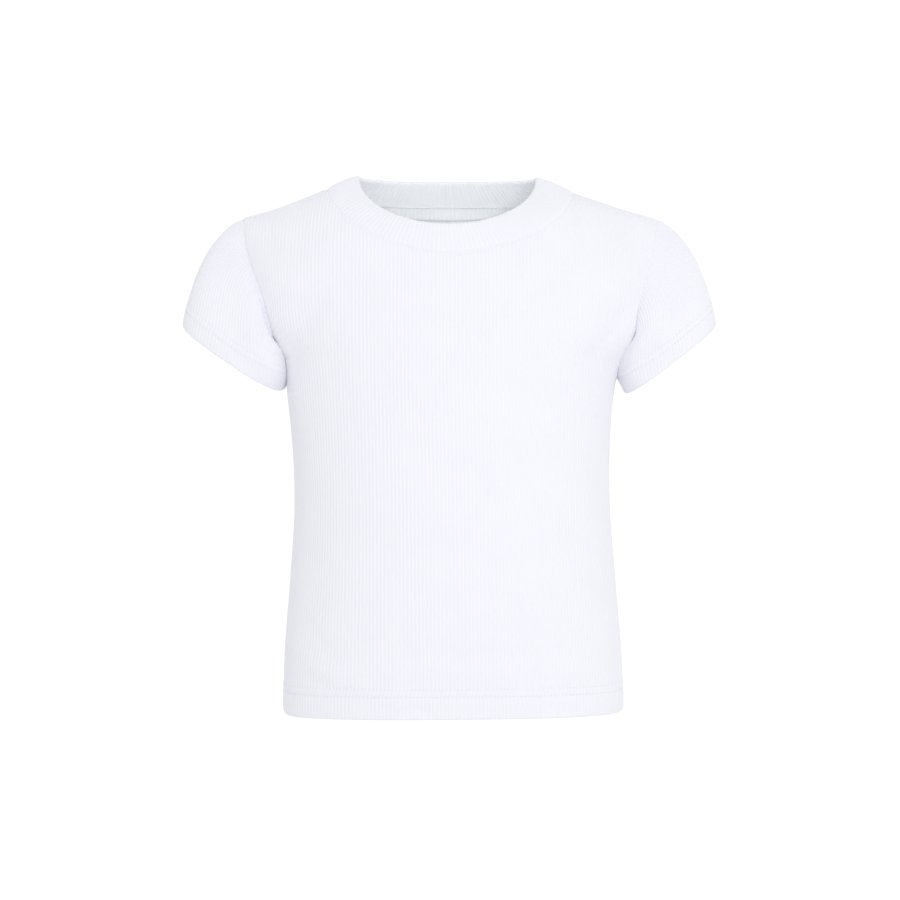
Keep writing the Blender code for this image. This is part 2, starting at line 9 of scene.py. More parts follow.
import bmesh
import bpy
import numpy as np
from mathutils import Matrix, Vector


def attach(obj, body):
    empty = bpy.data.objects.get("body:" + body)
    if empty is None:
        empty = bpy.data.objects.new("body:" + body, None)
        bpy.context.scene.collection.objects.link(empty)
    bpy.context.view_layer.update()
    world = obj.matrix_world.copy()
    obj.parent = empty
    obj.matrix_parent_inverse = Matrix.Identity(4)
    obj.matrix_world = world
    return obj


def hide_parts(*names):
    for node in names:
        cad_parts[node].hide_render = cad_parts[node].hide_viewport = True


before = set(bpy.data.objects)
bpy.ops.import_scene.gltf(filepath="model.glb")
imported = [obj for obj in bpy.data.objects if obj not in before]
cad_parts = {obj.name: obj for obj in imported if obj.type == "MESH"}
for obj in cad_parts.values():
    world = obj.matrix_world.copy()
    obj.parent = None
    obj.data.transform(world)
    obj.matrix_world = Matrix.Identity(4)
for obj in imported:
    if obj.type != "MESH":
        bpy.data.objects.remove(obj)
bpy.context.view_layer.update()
print("solid walls:", sorted(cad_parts))

# %% [markdown]
# ## The camera
# The photograph was taken from the front with a long lens, level with the middle of the shirt.

# %% Camera
CAMERA_DISTANCE = 2.5
CAMERA_HEIGHT = -0.193

camera_data = bpy.data.cameras.new("long_lens")
camera_data.lens = 135
camera_data.sensor_width = 36
camera = bpy.data.objects.new("camera", camera_data)
camera.location = (0, -CAMERA_DISTANCE, CAMERA_HEIGHT)
camera.rotation_euler = (math.radians(90), 0, 0)
bpy.context.scene.collection.objects.link(camera)
bpy.context.scene.camera = camera
print("camera at", tuple(camera.location))

# %% [markdown]
# ## The sizes of the cut and of the filled-out body
# A knitted shirt has no stiff form of its own, so its shape is a body's: one curve for each height, and a
# rule for how the ribs share that curve out. The same few tables give the seams, which is why the cloth
# pieces meet. All sizes are in metres.

# %% Sizes
RIBS_PER_PANEL = 120
RIBS_PER_SLEEVE = 94
BAND_RIBS_FRONT = 74
BAND_RIBS_BACK = 66
RIB_RELIEF = 0.00036
POINTS_PER_RIB = 4
CLOTH = 0.0008  # one layer
FOLD_RADIUS = 0.00095  # half the distance between the two layers of a hem

HEM_Z = -0.385
UNDERARM_Z = -0.128
NECK_HALF = 0.0907  # half the width between the neck points
SHOULDER_HALF = 0.1530  # half the width between the shoulder points
SHOULDER_FALL = 0.355  # drop of the shoulder seam for each metre outwards
SHOULDER_Z = -(SHOULDER_HALF - NECK_HALF) * SHOULDER_FALL
NECK_SHARE = 0.6  # share of a panel's half width that ends at the neckband
CLOTH_HALF = 0.166  # half a panel's width where its ribs are neither stretched nor squeezed
EDGE_EASE = 4.0  # higher keeps the middle ribs more even
FRONT_SHOULDER_ROLL = 0.060  # height over which the front turns back to the shoulder seam
BACK_SHOULDER_ROLL = 0.045


def table(names, rows):
    return np.array(rows, dtype=[(name, float) for name in names.split()])


BODY = table(
    "height half_breadth front_depth back_depth round lean",
    [
        (-0.385, 0.1258, 0.0880, 0.0740, 2.60, 0.0026),
        (-0.340, 0.1236, 0.0910, 0.0705, 2.45, 0.0024),
        (-0.290, 0.1198, 0.0920, 0.0670, 2.25, 0.0021),
        (-0.230, 0.1160, 0.0885, 0.0680, 2.20, 0.0016),
        (-0.185, 0.1170, 0.0840, 0.0715, 2.20, 0.0009),
        (-0.156, 0.1198, 0.0800, 0.0740, 2.20, 0.0003),
        (-0.140, 0.1228, 0.0780, 0.0745, 2.20, 0.0000),
        (-0.128, 0.1262, 0.0765, 0.0745, 2.20, 0.0000),
        (-0.115, 0.1335, 0.0740, 0.0740, 2.20, 0.0000),
        (-0.100, 0.1425, 0.0710, 0.0725, 2.20, 0.0000),
        (-0.080, 0.1520, 0.0665, 0.0700, 2.20, 0.0000),
        (-0.060, 0.1580, 0.0600, 0.0665, 2.20, 0.0000),
        (-0.040, 0.1610, 0.0545, 0.0620, 2.20, 0.0000),
        (-0.022, 0.1620, 0.0510, 0.0580, 2.20, 0.0000),
        (0.0, 0.1620, 0.0460, 0.0520, 2.20, 0.0000),
        (0.030, 0.1620, 0.0400, 0.0470, 2.20, 0.0000),
    ],
)
ARMHOLE = table(
    "height front back",
    [
        (-0.128, 0.1262, 0.1262),
        (-0.122, 0.1284, 0.1288),
        (-0.115, 0.1308, 0.1318),
        (-0.100, 0.1345, 0.1368),
        (-0.080, 0.1400, 0.1428),
        (-0.060, 0.1455, 0.1478),
        (-0.040, 0.1503, 0.1515),
        (SHOULDER_Z, SHOULDER_HALF, SHOULDER_HALF),
    ],
)
NECK = table(
    "side seam_drop seam_round top_depth top_height top_round plan_round",
    [
        (-1, 0.0503, 1.75, 0.0500, -0.0293, 1.95, 2.15),
        (1, 0.0093, 2.00, 0.0420, 0.0082, 2.00, 2.10),
    ],
)
BAND_TOP_RIGHT = 0.0678
BAND_TOP_LEFT = 0.0640
BAND_TOP_Z = 0.0100
SLEEVES = table(
    "side outer_x outer_z inner_x inner_z half_depth front_fall",
    [
        (-1, 0.1964, -0.0989, 0.1252, -0.1480, 0.0390, 0.0052),
        (1, 0.1960, -0.0985, 0.1305, -0.1495, 0.0390, 0.0035),
    ],
)
SETTLE = table(
    "across drop",
    [
        (-0.170, 0.0000),
        (-0.153, 0.0000),
        (-0.130, 0.0016),
        (-0.108, 0.0013),
        (-0.090, 0.0003),
        (-0.060, 0.0000),
        (0.040, 0.0000),
        (0.068, 0.0014),
        (0.090, 0.0028),
        (0.112, 0.0026),
        (0.134, 0.0018),
        (0.153, 0.0004),
        (0.170, 0.0000),
    ],
)
print("body levels:", len(BODY), "ribs on a panel:", RIBS_PER_PANEL)

# %% [markdown]
# ## Reading curves
# Each table row is a point on a smooth curve. A tailor measures along the cloth, so points on a line are
# found by the distance walked on it, not by their height.

# %% Curve helpers


def unit(vectors):
    return vectors / np.maximum(np.linalg.norm(vectors, axis=-1, keepdims=True), 1e-12)


def smooth(rows, column, at):
    """A smooth curve through a table's rows, read at some places of its first column."""
    known, value = rows[rows.dtype.names[0]], rows[column]
    slope = np.gradient(value, known)
    at = np.clip(at, known[0], known[-1])
    below = np.clip(np.searchsorted(known, at) - 1, 0, len(known) - 2)
    span = known[below + 1] - known[below]
    t = (at - known[below]) / span
    return (
        (2 * t**3 - 3 * t**2 + 1) * value[below]
        + (t**3 - 2 * t**2 + t) * span * slope[below]
        + (3 * t**2 - 2 * t**3) * value[below + 1]
        + (t**3 - t**2) * span * slope[below + 1]
    )


def walked(points):
    """Distance walked along each column of a grid of points, from its first row."""
    steps = np.linalg.norm(np.diff(points, axis=0), axis=-1)
    return np.concatenate([np.zeros_like(steps[:1]), np.cumsum(steps, axis=0)])


def read_rows(at, known, values):
    """Reads each row of a table at its own place."""
    row = np.arange(len(at))
    k = np.clip((known <= at[:, None]).sum(axis=1) - 1, 0, known.shape[1] - 2)
    low, high = known[row, k], known[row, k + 1]
    t = np.clip((at - low) / np.maximum(high - low, 1e-12), 0, 1)
    return values[row, k] * (1 - t) + values[row, k + 1] * t


def grid_along(points, distances):
    """Points at some distances, an array with a row for each new row, along every column of a grid."""
    run = walked(points).T
    rows = [
        np.stack([read_rows(d, run, points[..., k].T) for k in range(3)], axis=-1) for d in distances
    ]
    return np.array(rows)


def line_along(points, shares):
    """Points at given shares of a line's length."""
    run = walked(points)
    return np.stack([np.interp(shares * run[-1], run, points[:, k]) for k in range(3)], axis=-1)


print("half the breadth at the waist:", smooth(BODY, "half_breadth", -0.230).round(4))

# %% [markdown]
# ## The filled-out body
# A horizontal cut through the shirt is a rounded oval. Near the shoulders it closes towards the shoulder
# seam. The share u says which rib a point is on: 0 at the centre, -1 and 1 at the side seam or armhole.
# The body could be sculpted, but a rule for each level lets the seams and the ribs be read from it too.

# %% Body form
LEVEL_POINTS = 90  # on half a level's curve


def side_name(side):
    return "front" if side < 0 else "back"


def shoulder_height(x):
    return (NECK_HALF - np.abs(x)) * SHOULDER_FALL


def shoulder_reach(z):
    return NECK_HALF - z / SHOULDER_FALL


def level_curves(side, z):
    """Half of the oval at each height, from the centre outwards, and the distance walked along it."""
    z = z[:, None]
    breadth = smooth(BODY, "half_breadth", z)
    depth = smooth(BODY, side_name(side) + "_depth", z)
    roundness = smooth(BODY, "round", z)
    roll = FRONT_SHOULDER_ROLL if side < 0 else BACK_SHOULDER_ROLL
    reach = np.where(z <= SHOULDER_Z, breadth, shoulder_reach(z))
    x = reach * np.sin(np.linspace(0, math.pi / 2, LEVEL_POINTS))
    outline = np.clip(1 - (x / breadth) ** roundness, 0, 1) ** (1 / roundness)
    below_seam = np.clip((shoulder_height(x) - z) / roll, 0, 1)
    y = side * depth * outline * np.sqrt(1 - (1 - below_seam) ** 2)
    steps = np.hypot(np.diff(x), np.diff(y))
    return x, y, np.hstack([np.zeros_like(z), np.cumsum(steps, axis=1)])


def panel_edge(side, z):
    """How far out a panel reaches at each height, and the share u of its edge there."""
    above = z > SHOULDER_Z
    armhole = np.where(z > UNDERARM_Z, smooth(ARMHOLE, side_name(side), z), smooth(BODY, "half_breadth", z))
    x = np.where(above, shoulder_reach(z), armhole)
    beyond = (x - NECK_HALF) / (SHOULDER_HALF - NECK_HALF)
    return x, np.where(above, NECK_SHARE + (1 - NECK_SHARE) * beyond, 1.0)


def level_distance(side, u, z):
    """The level's curve at each point, and the point's distance along it. Ribs stretch or squeeze to fit
    the level, most of all near the panel's edge."""
    x, y, run = level_curves(side, z)
    edge_x, edge_u = panel_edge(side, z)
    share = np.abs(u) / edge_u
    even = CLOTH_HALF * edge_u
    return x, y, run, even * share + (read_rows(edge_x, x, run) - even) * share**EDGE_EASE


def body_point(side, u, z):
    """Points of the filled-out shirt, given the shares u and the heights."""
    u, z = np.broadcast_arrays(np.asarray(u, float), np.asarray(z, float))
    shape, u, z = u.shape, u.ravel(), z.ravel()
    x, y, run, distance = level_distance(side, u, z)
    across = np.sign(u) * read_rows(distance, run, x) + smooth(BODY, "lean", z)
    return np.stack([across, read_rows(distance, run, y), z], axis=-1).reshape(*shape, 3)


print("front at the hem:", body_point(-1, 0.0, HEM_Z).round(4))

# %% [markdown]
# ## Ribs on the body
# The ribs of a panel run straight up the cloth, so each one ends where the neckline, the shoulder seam or
# the armhole cuts it off. A knitter would count them, and so do these rules.

# %% Ribs
RIBS_FREE_BELOW = 0.030  # from here below the underarm the ribs stop following the panel's edge
RIBS_FREE_OVER = 0.040  # over this height


def smooth_step(t):
    return t * t * (3 - 2 * t)


def panel_ribs(side, u, z):
    """Which rib lies at a place. Below the armhole the panel's edges follow a rib. Beside it they cut
    across the ribs, which keep their distance there."""
    shape, u, z = u.shape, u.ravel(), z.ravel()
    distance = level_distance(side, u, z)[-1]
    free = smooth_step(np.clip((z - UNDERARM_Z + RIBS_FREE_BELOW) / RIBS_FREE_OVER, 0, 1))
    number = (1 - free) * np.abs(u) + free * distance / CLOTH_HALF
    return ((1 + np.sign(u) * number) / 2 * RIBS_PER_PANEL).reshape(shape)


def neck_row(side):
    return NECK[0] if side < 0 else NECK[1]


def neckline_reach(side, z):
    row = neck_row(side)
    fall = np.clip(-z / row["seam_drop"], 0, 1)
    return NECK_HALF * (1 - fall ** row["seam_round"]) ** (1 / row["seam_round"])


def rib_top(side, u):
    """The height where each rib ends, at the shoulder seam or at the neckline."""
    u = np.abs(u)
    beyond = (u - NECK_SHARE) / (1 - NECK_SHARE)
    at_shoulder = shoulder_height(NECK_HALF + beyond * (SHOULDER_HALF - NECK_HALF))
    row = neck_row(side)
    low, high = np.full(u.shape, -row["seam_drop"]), np.zeros(u.shape)
    for _ in range(30):
        middle = (low + high) / 2
        wide = body_point(side, u, middle)[..., 0] > neckline_reach(side, middle)
        low, high = np.where(wide, middle, low), np.where(wide, high, middle)
    return np.where(u >= NECK_SHARE, at_shoulder, (low + high) / 2)


FIRST_ROW_SPACE = 1.6  # rows near a seam keep this many times their distance to the even rows


def upper_levels(side, u, shares, from_top=()):
    """For each rib, the heights at given shares of its length from the underarm's level to its top. The
    last ones may be given by their distances from the top, and the shares are then of what is left."""
    t = np.linspace(0, 1, 50)[:, None]
    levels = UNDERARM_Z + (rib_top(side, u) - UNDERARM_Z) * (1 - (1 - t) ** 2)
    run = walked(body_point(side, u[None, :], levels))
    left = run[-1] - (from_top[0] * FIRST_ROW_SPACE if from_top else 0)
    rows = [share * left for share in shares] + [run[-1] - distance for distance in from_top]
    return np.array([read_rows(row, run.T, levels.T) for row in rows])


print("the centre rib ends at:", rib_top(-1, np.zeros(1)).round(4))

# %% [markdown]
# ## Tugs
# Worn cloth isn't even. The weight of the sleeves draws it forward at the armpits, and the hem's corners
# are round. Each row of the table takes hold of the cloth at a place and moves it across, to the back and
# up, and all the cloth within its reach follows, as with proportional editing in Blender's edit mode.

# %% Tugs
TUGS = table(
    "x y z across back up reach",
    [
        (-0.126, 0.000, -0.126, 0.0045, -0.0100, 0.0030, 0.020),
        (0.128, 0.000, -0.128, -0.0010, -0.0100, -0.0020, 0.020),
        (-0.131, -0.020, -0.113, 0.0020, -0.0080, 0.0000, 0.018),
        (0.132, -0.020, -0.113, 0.0030, -0.0080, 0.0000, 0.018),
        (-0.138, -0.032, -0.085, 0.0028, -0.0050, 0.0000, 0.026),
        (0.138, -0.032, -0.085, 0.0000, -0.0050, 0.0000, 0.026),
        (-0.1284, 0.000, -0.386, 0.0014, 0.0000, 0.0070, 0.024),
        (0.1284, 0.000, -0.386, -0.0012, 0.0000, 0.0060, 0.024),
    ],
)

SETTLE_FROM = -0.080  # the shoulders begin to settle here
SETTLE_OVER = 0.060
HEM_RISE = 0.0011  # at the wearer's left side seam
HEM_RISE_FROM = -0.300


def settle(points):
    """The small lop-sidedness of the worn shirt: the tugs, lower shoulders, and a hem that rises to the
    left arm."""
    x, z = points[..., 0], points[..., 2]
    low = smooth_step(np.clip((z - SETTLE_FROM) / SETTLE_OVER, 0, 1))
    tilt = np.clip((HEM_RISE_FROM - z) / (HEM_RISE_FROM - HEM_Z), 0, 1)
    moved = points.copy()
    for tug in TUGS:
        away = np.linalg.norm(points - (tug["x"], tug["y"], tug["z"]), axis=-1, keepdims=True)
        moved += np.exp(-((away / tug["reach"]) ** 2)) * (tug["across"], tug["back"], tug["up"])
    moved[..., 2] += HEM_RISE * x / BODY["half_breadth"][0] * tilt - smooth(SETTLE, "drop", x) * low
    return moved


print("tugs:", len(TUGS), "farthest:", np.abs(TUGS["back"]).max())

# %% [markdown]
# ## Folds
# The cloth is knitted to the body, so it has few folds: troughs that run into the armpits, soft hollows by
# the shoulders, and ripples above the hem. They could be simulated, but lines given one by one fall just
# where the photograph has them. The surface sinks or rises along each line. A row gives the line's points,
# how far it reaches to either side, and its height.

# %% Folds
FOLD_FADE = 2.6  # higher brings a fold to its full height nearer to its ends
FOLD_AT_END = 0.35


def fold(points, reach, height):
    """One fold. The points are across and up, and everything is in millimetres, to be easy to read."""
    return {"points": np.array(points) / 1000, "reach": reach / 1000, "height": height / 1000}


FRONT_FOLDS = [
    fold([(-120, -124), (-108, -110), (-95, -92)], 6.5, -2.4),
    fold([(-128, -103), (-120, -92), (-110, -70)], 8.0, 1.3),
    fold([(-119, -136), (-104, -142), (-90, -138)], 8.0, -1.0),
    fold([(134, -84), (124, -101), (111, -117), (98, -126)], 6.0, -2.0),
    fold([(129, -100), (121, -113), (108, -128)], 5.0, 1.2),
    fold([(122, -131), (112, -129), (100, -122)], 4.5, -1.5),
    fold([(121, -142), (108, -141), (92, -132)], 6.0, -0.7),
    fold([(-131, -33), (-129, -44)], 8.0, -1.3),
    fold([(-112, -30), (-110, -52)], 10.0, -0.8),
    fold([(108, -24), (128, -31), (144, -40)], 9.0, -1.6),
    fold([(2, -211), (18, -196), (52, -178)], 5.0, -0.5),
    fold([(-8, -200), (8, -190), (30, -177)], 6.0, 0.4),
    fold([(-4, -70), (6, -80), (16, -70)], 6.0, -0.35),
    fold([(-58, -338), (-10, -342), (60, -340), (108, -334)], 7.0, -0.6),
    fold([(-50, -350), (0, -353), (70, -351)], 6.0, 0.5),
    fold([(-104, -322), (-92, -334), (-74, -344)], 8.0, -1.3),
    fold([(-110, -340), (-94, -352), (-72, -358)], 6.0, 1.0),
    fold([(-98, -358), (-80, -366), (-60, -366)], 5.0, -0.8),
    fold([(-44, -372), (-34, -376), (-18, -372)], 4.5, 0.9),
    fold([(-36, -380), (-24, -378), (-12, -382)], 4.0, -0.9),
    fold([(30, -376), (62, -373), (104, -376)], 5.0, 0.6),
    fold([(86, -300), (98, -330), (104, -362)], 14.0, -0.9),
    fold([(-100, -215), (-104, -260), (-98, -310)], 16.0, -1.2),
]
BACK_FOLDS = [
    fold([(-122, -126), (-108, -112), (-92, -98)], 6.0, -2.0),
    fold([(-128, -106), (-118, -92), (-106, -72)], 8.0, 1.2),
    fold([(122, -126), (110, -113), (93, -101)], 6.5, -2.2),
    fold([(128, -104), (119, -93), (107, -75)], 7.5, 1.2),
    fold([(-110, -28), (-108, -50)], 10.0, -1.0),
    fold([(112, -28), (108, -48)], 10.0, -1.2),
    fold([(-40, -250), (10, -262), (60, -252)], 11.0, -1.2),
    fold([(-60, -272), (-8, -284), (44, -276)], 10.0, 1.0),
    fold([(-30, -296), (14, -304), (70, -292)], 9.0, -0.9),
    fold([(-98, -330), (-82, -348), (-60, -356)], 8.0, -1.0),
    fold([(72, -352), (90, -340), (104, -322)], 8.0, -0.9),
    fold([(-50, -372), (-30, -377), (-10, -372)], 4.5, 0.8),
    fold([(24, -378), (40, -374), (58, -379)], 4.5, -0.8),
    fold([(-18, -60), (0, -110), (4, -160)], 16.0, -0.8),
]


def fold_height(x, z, folds):
    """How far the folds lift or sink the cloth at some points, seen from the front."""
    lift = np.zeros_like(x)
    for item in folds:
        points, total = item["points"], walked(item["points"])[-1]
        nearest, place = np.full(x.shape, np.inf), np.zeros_like(x)
        for start, end, done in zip(points, points[1:], walked(points)):
            way = end - start
            t = np.clip(((x - start[0]) * way[0] + (z - start[1]) * way[1]) / (way @ way), 0, 1)
            away = np.hypot(x - start[0] - t * way[0], z - start[1] - t * way[1])
            place = np.where(away < nearest, (done + t * np.hypot(*way)) / total, place)
            nearest = np.minimum(nearest, away)
        ends = np.clip(np.minimum(place, 1 - place) * FOLD_FADE + FOLD_AT_END, 0, 1)
        lift += item["height"] * ends * np.exp(-((nearest / item["reach"]) ** 2))
    return lift


print("folds: front", len(FRONT_FOLDS), "back", len(BACK_FOLDS))

# %% [markdown]
# ## A cloth piece from a grid
# A knitted piece is a grid already: ribs run one way and rows of stitches the other. So each piece starts
# as Blender's grid, with four columns of points for each rib, and its points are moved to their places.
# Its UV map counts ribs across and metres along, which is what the knit's fine pattern follows.

# %% Cloth grid
MERGE_DISTANCE = 1e-6  # joins the first and the last column of a tube
SHARP_ANGLE = math.radians(60)


def rib_height(ribs):
    """The rounded top and the narrow groove of each rib."""
    return RIB_RELIEF * np.sin(math.pi * ribs) ** 2


def outward(points, flip=False):
    """Which way a grid of points faces."""
    across = np.gradient(points, axis=1)
    up = np.gradient(points, axis=0)
    facing = unit(np.cross(across, up))
    return -facing if flip else facing


def cloth_piece(name, points, ribs, heights, flip=False, ring=False):
    """A mesh object with the grid's points, its UV map and smooth shading."""
    rows, columns = points.shape[:2]
    bm = bmesh.new()
    bmesh.ops.create_grid(bm, x_segments=columns - 1, y_segments=rows - 1, size=1.0)
    mesh = bpy.data.meshes.new(name)
    bm.to_mesh(mesh)
    bm.free()
    start = np.empty(len(mesh.vertices) * 3, np.float32)
    mesh.vertices.foreach_get("co", start)
    start = start.reshape(-1, 3)
    span = start.max(axis=0)
    column = np.rint((start[:, 0] / span[0] + 1) / 2 * (columns - 1)).astype(int)
    row = np.rint((start[:, 1] / span[1] + 1) / 2 * (rows - 1)).astype(int)
    mesh.vertices.foreach_set("co", settle(points)[row, column].astype(np.float32).ravel())
    corner = np.empty(len(mesh.loops), np.int32)
    mesh.loops.foreach_get("vertex_index", corner)
    weave = np.stack([ribs[row, column], heights[row, column]], axis=1)[corner]
    mesh.uv_layers.new(name="weave").data.foreach_set("uv", weave.astype(np.float32).ravel())
    bm = bmesh.new()
    bm.from_mesh(mesh)
    if ring:
        bmesh.ops.remove_doubles(bm, verts=bm.verts, dist=MERGE_DISTANCE)
    if flip:
        bmesh.ops.reverse_faces(bm, faces=bm.faces)
    bm.to_mesh(mesh)
    bm.free()
    mesh.shade_smooth()
    mesh.set_sharp_from_angle(angle=SHARP_ANGLE)
    piece = bpy.data.objects.new(name, mesh)
    bpy.context.scene.collection.objects.link(piece)
    print(name, "points", len(mesh.vertices))
    return piece


def finish_cloth(piece, material, thickness, wall):
    """Thickness inwards from the modelled outside, the material, and the solid wall that it replaces."""
    piece.data.materials.append(material)
    layer = piece.modifiers.new("layer", "SOLIDIFY")
    layer.thickness = thickness
    layer.offset = -1
    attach(piece, "root")
    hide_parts(wall)
    return piece


print("ribs stand", RIB_RELIEF, "high, with", POINTS_PER_RIB, "points to each")

# %% [markdown]
# ## Knit materials
# Rib knit is matt and slightly fuzzy. Up close each rib is a column of small V-shaped stitches. The ribs
# themselves are real relief. The material's bump deepens the grooves a little, and adds the stitches, some
# fuzz and a faint unevenness, which are too fine to model.

# %% Materials
COURSE = 0.00105  # one row of knitted stitches


def knit_material(name, colour, rib_depth=0.12, stitch_depth=0.008):
    """Depths are in millimetres: what is added to a groove, and that of the stitches within a rib."""
    material = bpy.data.materials.new(name)
    material.use_nodes = True
    nodes, links = material.node_tree.nodes, material.node_tree.links
    shader = nodes["Principled BSDF"]
    shader.inputs["Roughness"].default_value = 0.92
    shader.inputs["Specular IOR Level"].default_value = 0.25
    shader.inputs["Sheen Weight"].default_value = 0.12
    shader.inputs["Sheen Roughness"].default_value = 0.6

    def math_node(operation, first, second=None):
        node = nodes.new("ShaderNodeMath")
        node.operation = operation
        for socket, value in zip(node.inputs, (first, second)):
            if value is None:
                continue
            if isinstance(value, (int, float)):
                socket.default_value = value
            else:
                links.new(value, socket)
        return node.outputs[0]

    weave = nodes.new("ShaderNodeUVMap")
    weave.uv_map = "weave"
    parts = nodes.new("ShaderNodeSeparateXYZ")
    links.new(weave.outputs["UV"], parts.inputs[0])
    groove = math_node("ABSOLUTE", math_node("SINE", math_node("MULTIPLY", parts.outputs["X"], math.pi)))
    rib = math_node("MULTIPLY", math_node("POWER", groove, 0.8), rib_depth)
    slant = math_node("ABSOLUTE", math_node("SUBTRACT", math_node("FRACT", parts.outputs["X"]), 0.5))
    course = math_node("ADD", math_node("DIVIDE", parts.outputs["Y"], COURSE), slant)
    loop = math_node("SINE", math_node("MULTIPLY", course, 2 * math.pi))
    fuzz = nodes.new("ShaderNodeTexNoise")
    fuzz.inputs["Scale"].default_value = 1400
    fuzz.inputs["Detail"].default_value = 3
    place = nodes.new("ShaderNodeTexCoord")
    links.new(place.outputs["Object"], fuzz.inputs["Vector"])
    fine = math_node("MULTIPLY", math_node("ADD", loop, fuzz.outputs["Fac"]), stitch_depth / 2)
    bump = nodes.new("ShaderNodeBump")
    bump.inputs["Strength"].default_value = 1.0
    bump.inputs["Distance"].default_value = 0.001
    links.new(math_node("ADD", rib, fine), bump.inputs["Height"])
    links.new(bump.outputs["Normal"], shader.inputs["Normal"])
    uneven = nodes.new("ShaderNodeTexNoise")
    uneven.inputs["Scale"].default_value = 45
    uneven.inputs["Detail"].default_value = 4
    links.new(place.outputs["Object"], uneven.inputs["Vector"])
    ramp = nodes.new("ShaderNodeValToRGB")
    ramp.color_ramp.elements[0].position = 0.3
    ramp.color_ramp.elements[0].color = (*[part * 0.985 for part in colour], 1)
    ramp.color_ramp.elements[1].position = 0.7
    ramp.color_ramp.elements[1].color = (*colour, 1)
    links.new(uneven.outputs["Fac"], ramp.inputs["Fac"])
    links.new(ramp.outputs["Color"], shader.inputs["Base Color"])
    return material


WHITE_RIB = (0.872, 0.876, 0.945)
rib_knit = knit_material("white_rib_knit", WHITE_RIB)
band_knit = knit_material("white_band_knit", WHITE_RIB)
tape_knit = knit_material("white_tape_knit", (0.865, 0.870, 0.93), 0.14)
thread = knit_material("white_sewing_thread", (0.89, 0.893, 0.95), 0.0, 0.03)
print("materials:", [material.name for material in bpy.data.materials])

# %% [markdown]
# ## Front and back
# Each panel is one piece of cloth from its turned-up hem to the shoulder. The grid starts inside, at the
# raw edge of the turn-up, goes down, round the fold, and up the outside. Two rows of stitches pull the
# cloth in, so the rows of points lie closer together there. A ridge stops short of a seam, where the cloth
# is drawn in, and the last row turns in behind the seam, so that no gap shows.

# %% Hem and seams
STITCH_DIP = 0.00016
STITCH_REACH = 0.0007
DOUBLE_SWELL = 0.00045  # how much more a doubled hem stands out
DOUBLE_EDGE = 0.0009
EDGE_FLAT = 0.8  # share of a rib that is pressed flat at a folded edge
EDGE_REACH = 0.0035
SEAM_RISE = 0.0005  # the cloth stands higher than its seams
SEAM_RISES = {-1: 0.0006, 1: 0.0002}  # the same at the right and the left armhole
SEAM_REACH = 0.0010
SEAM_ROWS = (0.0030, 0.0017, 0.0008, 0.0)  # distances from a seam
ALLOWANCE = 0.0025  # cloth that is turned in behind a seam
FOLD_STEPS = 6  # round a folded edge


def bell(distance, reach):
    """1 at a place, fading smoothly to 0 beyond its reach."""
    return np.exp(-((distance / reach) ** 2))


def off_seam(distance):
    """0 on a seam and 1 a few millimetres away from it."""
    return 1 - bell(distance, SEAM_REACH)


def flattened(height):
    """The share of the ribs' relief that is left near a hem's folded edge."""
    return 1 - EDGE_FLAT * bell(height, EDGE_REACH)


def stitched_dip(height, rows):
    """Rows of stitches pull the cloth in, and it bulges a little where it is double."""
    dip = sum(-STITCH_DIP * bell(height - row, STITCH_REACH) for row in rows)
    return dip + DOUBLE_SWELL / (1 + np.exp((height - rows[-1]) / DOUBLE_EDGE))


def slanted(height, rows):
    """Between two rows of stitches the ribs lean, by half a rib from the lower row to the upper."""
    return 0.5 - 0.5 * np.clip((height - rows[0]) / (rows[1] - rows[0]), 0, 1)


def with_allowance(points, facing, axis=0):
    """Adds a last row, or a first and a last column, that turns in behind the seam."""
    tucked = points - facing * ALLOWANCE
    if axis:
        return np.concatenate([tucked[:, :1], points, tucked[:, -1:]], axis=1)
    return np.concatenate([points, tucked[-1:]])


def with_turn_up(points, facing, run, ribs, turned):
    """Adds ribs, the fold at a hem's edge and the layer turned up inside, and the allowance at the top."""
    lift = rib_height(ribs) * flattened(run) * off_seam(run[-1:] - run)
    ribbed = with_allowance(points + facing * lift[..., None], facing)
    relief = rib_height(ribs[0])[:, None]
    up = unit(points[1] - points[0])
    column = np.arange(run.shape[1])
    rows = []
    for height in turned:
        share = np.stack([np.interp(height, run[:, k], np.arange(len(run))) for k in column])
        low = np.clip(share.astype(int), 0, len(run) - 2)
        t = (share - low)[:, None]
        base = points[low, column] * (1 - t) + points[low + 1, column] * t
        way = unit(facing[low, column] * (1 - t) + facing[low + 1, column] * t)
        rows.append(base - way * (2 * FOLD_RADIUS + relief * flattened(height)))
    for angle in np.linspace(math.pi, 0, FOLD_STEPS)[1:-1]:
        out = facing[0] * math.cos(angle) - up * math.sin(angle)
        rows.append(points[0] - facing[0] * FOLD_RADIUS + out * (FOLD_RADIUS + relief * flattened(0)))
    inside = np.pad(-np.array(turned), (0, FOLD_STEPS - 2))[:, None] * np.ones(len(column))
    heights = np.vstack([inside, run, run[-1:] + ALLOWANCE])
    ribs = np.vstack([np.repeat(ribs[:1], len(rows), axis=0), ribs, ribs[-1:]])
    return np.concatenate([np.array(rows), ribbed]), heights, ribs


# %% Panels
HEM_STITCHES = (0.0155, 0.0205)  # above the hem's edge
HEM_ROWS = (0.0, 0.0025, 0.005, 0.008, 0.011, 0.0135, 0.0149, 0.0155, 0.0162, 0.018)
HEM_ROWS += (0.0198, 0.0205, 0.0213, 0.023, 0.026)
TURN_UP = (0.0215, 0.0175, 0.013, 0.0085, 0.004, 0.0)
BODY_STEP = 0.0049
UPPER_ROWS = 22
PANEL_COLUMNS = RIBS_PER_PANEL * POINTS_PER_RIB
EDGE_FOLDS = 3  # folds fade over this many times the reach of a seam
panel_shares = np.linspace(-1, 1, PANEL_COLUMNS + 1)


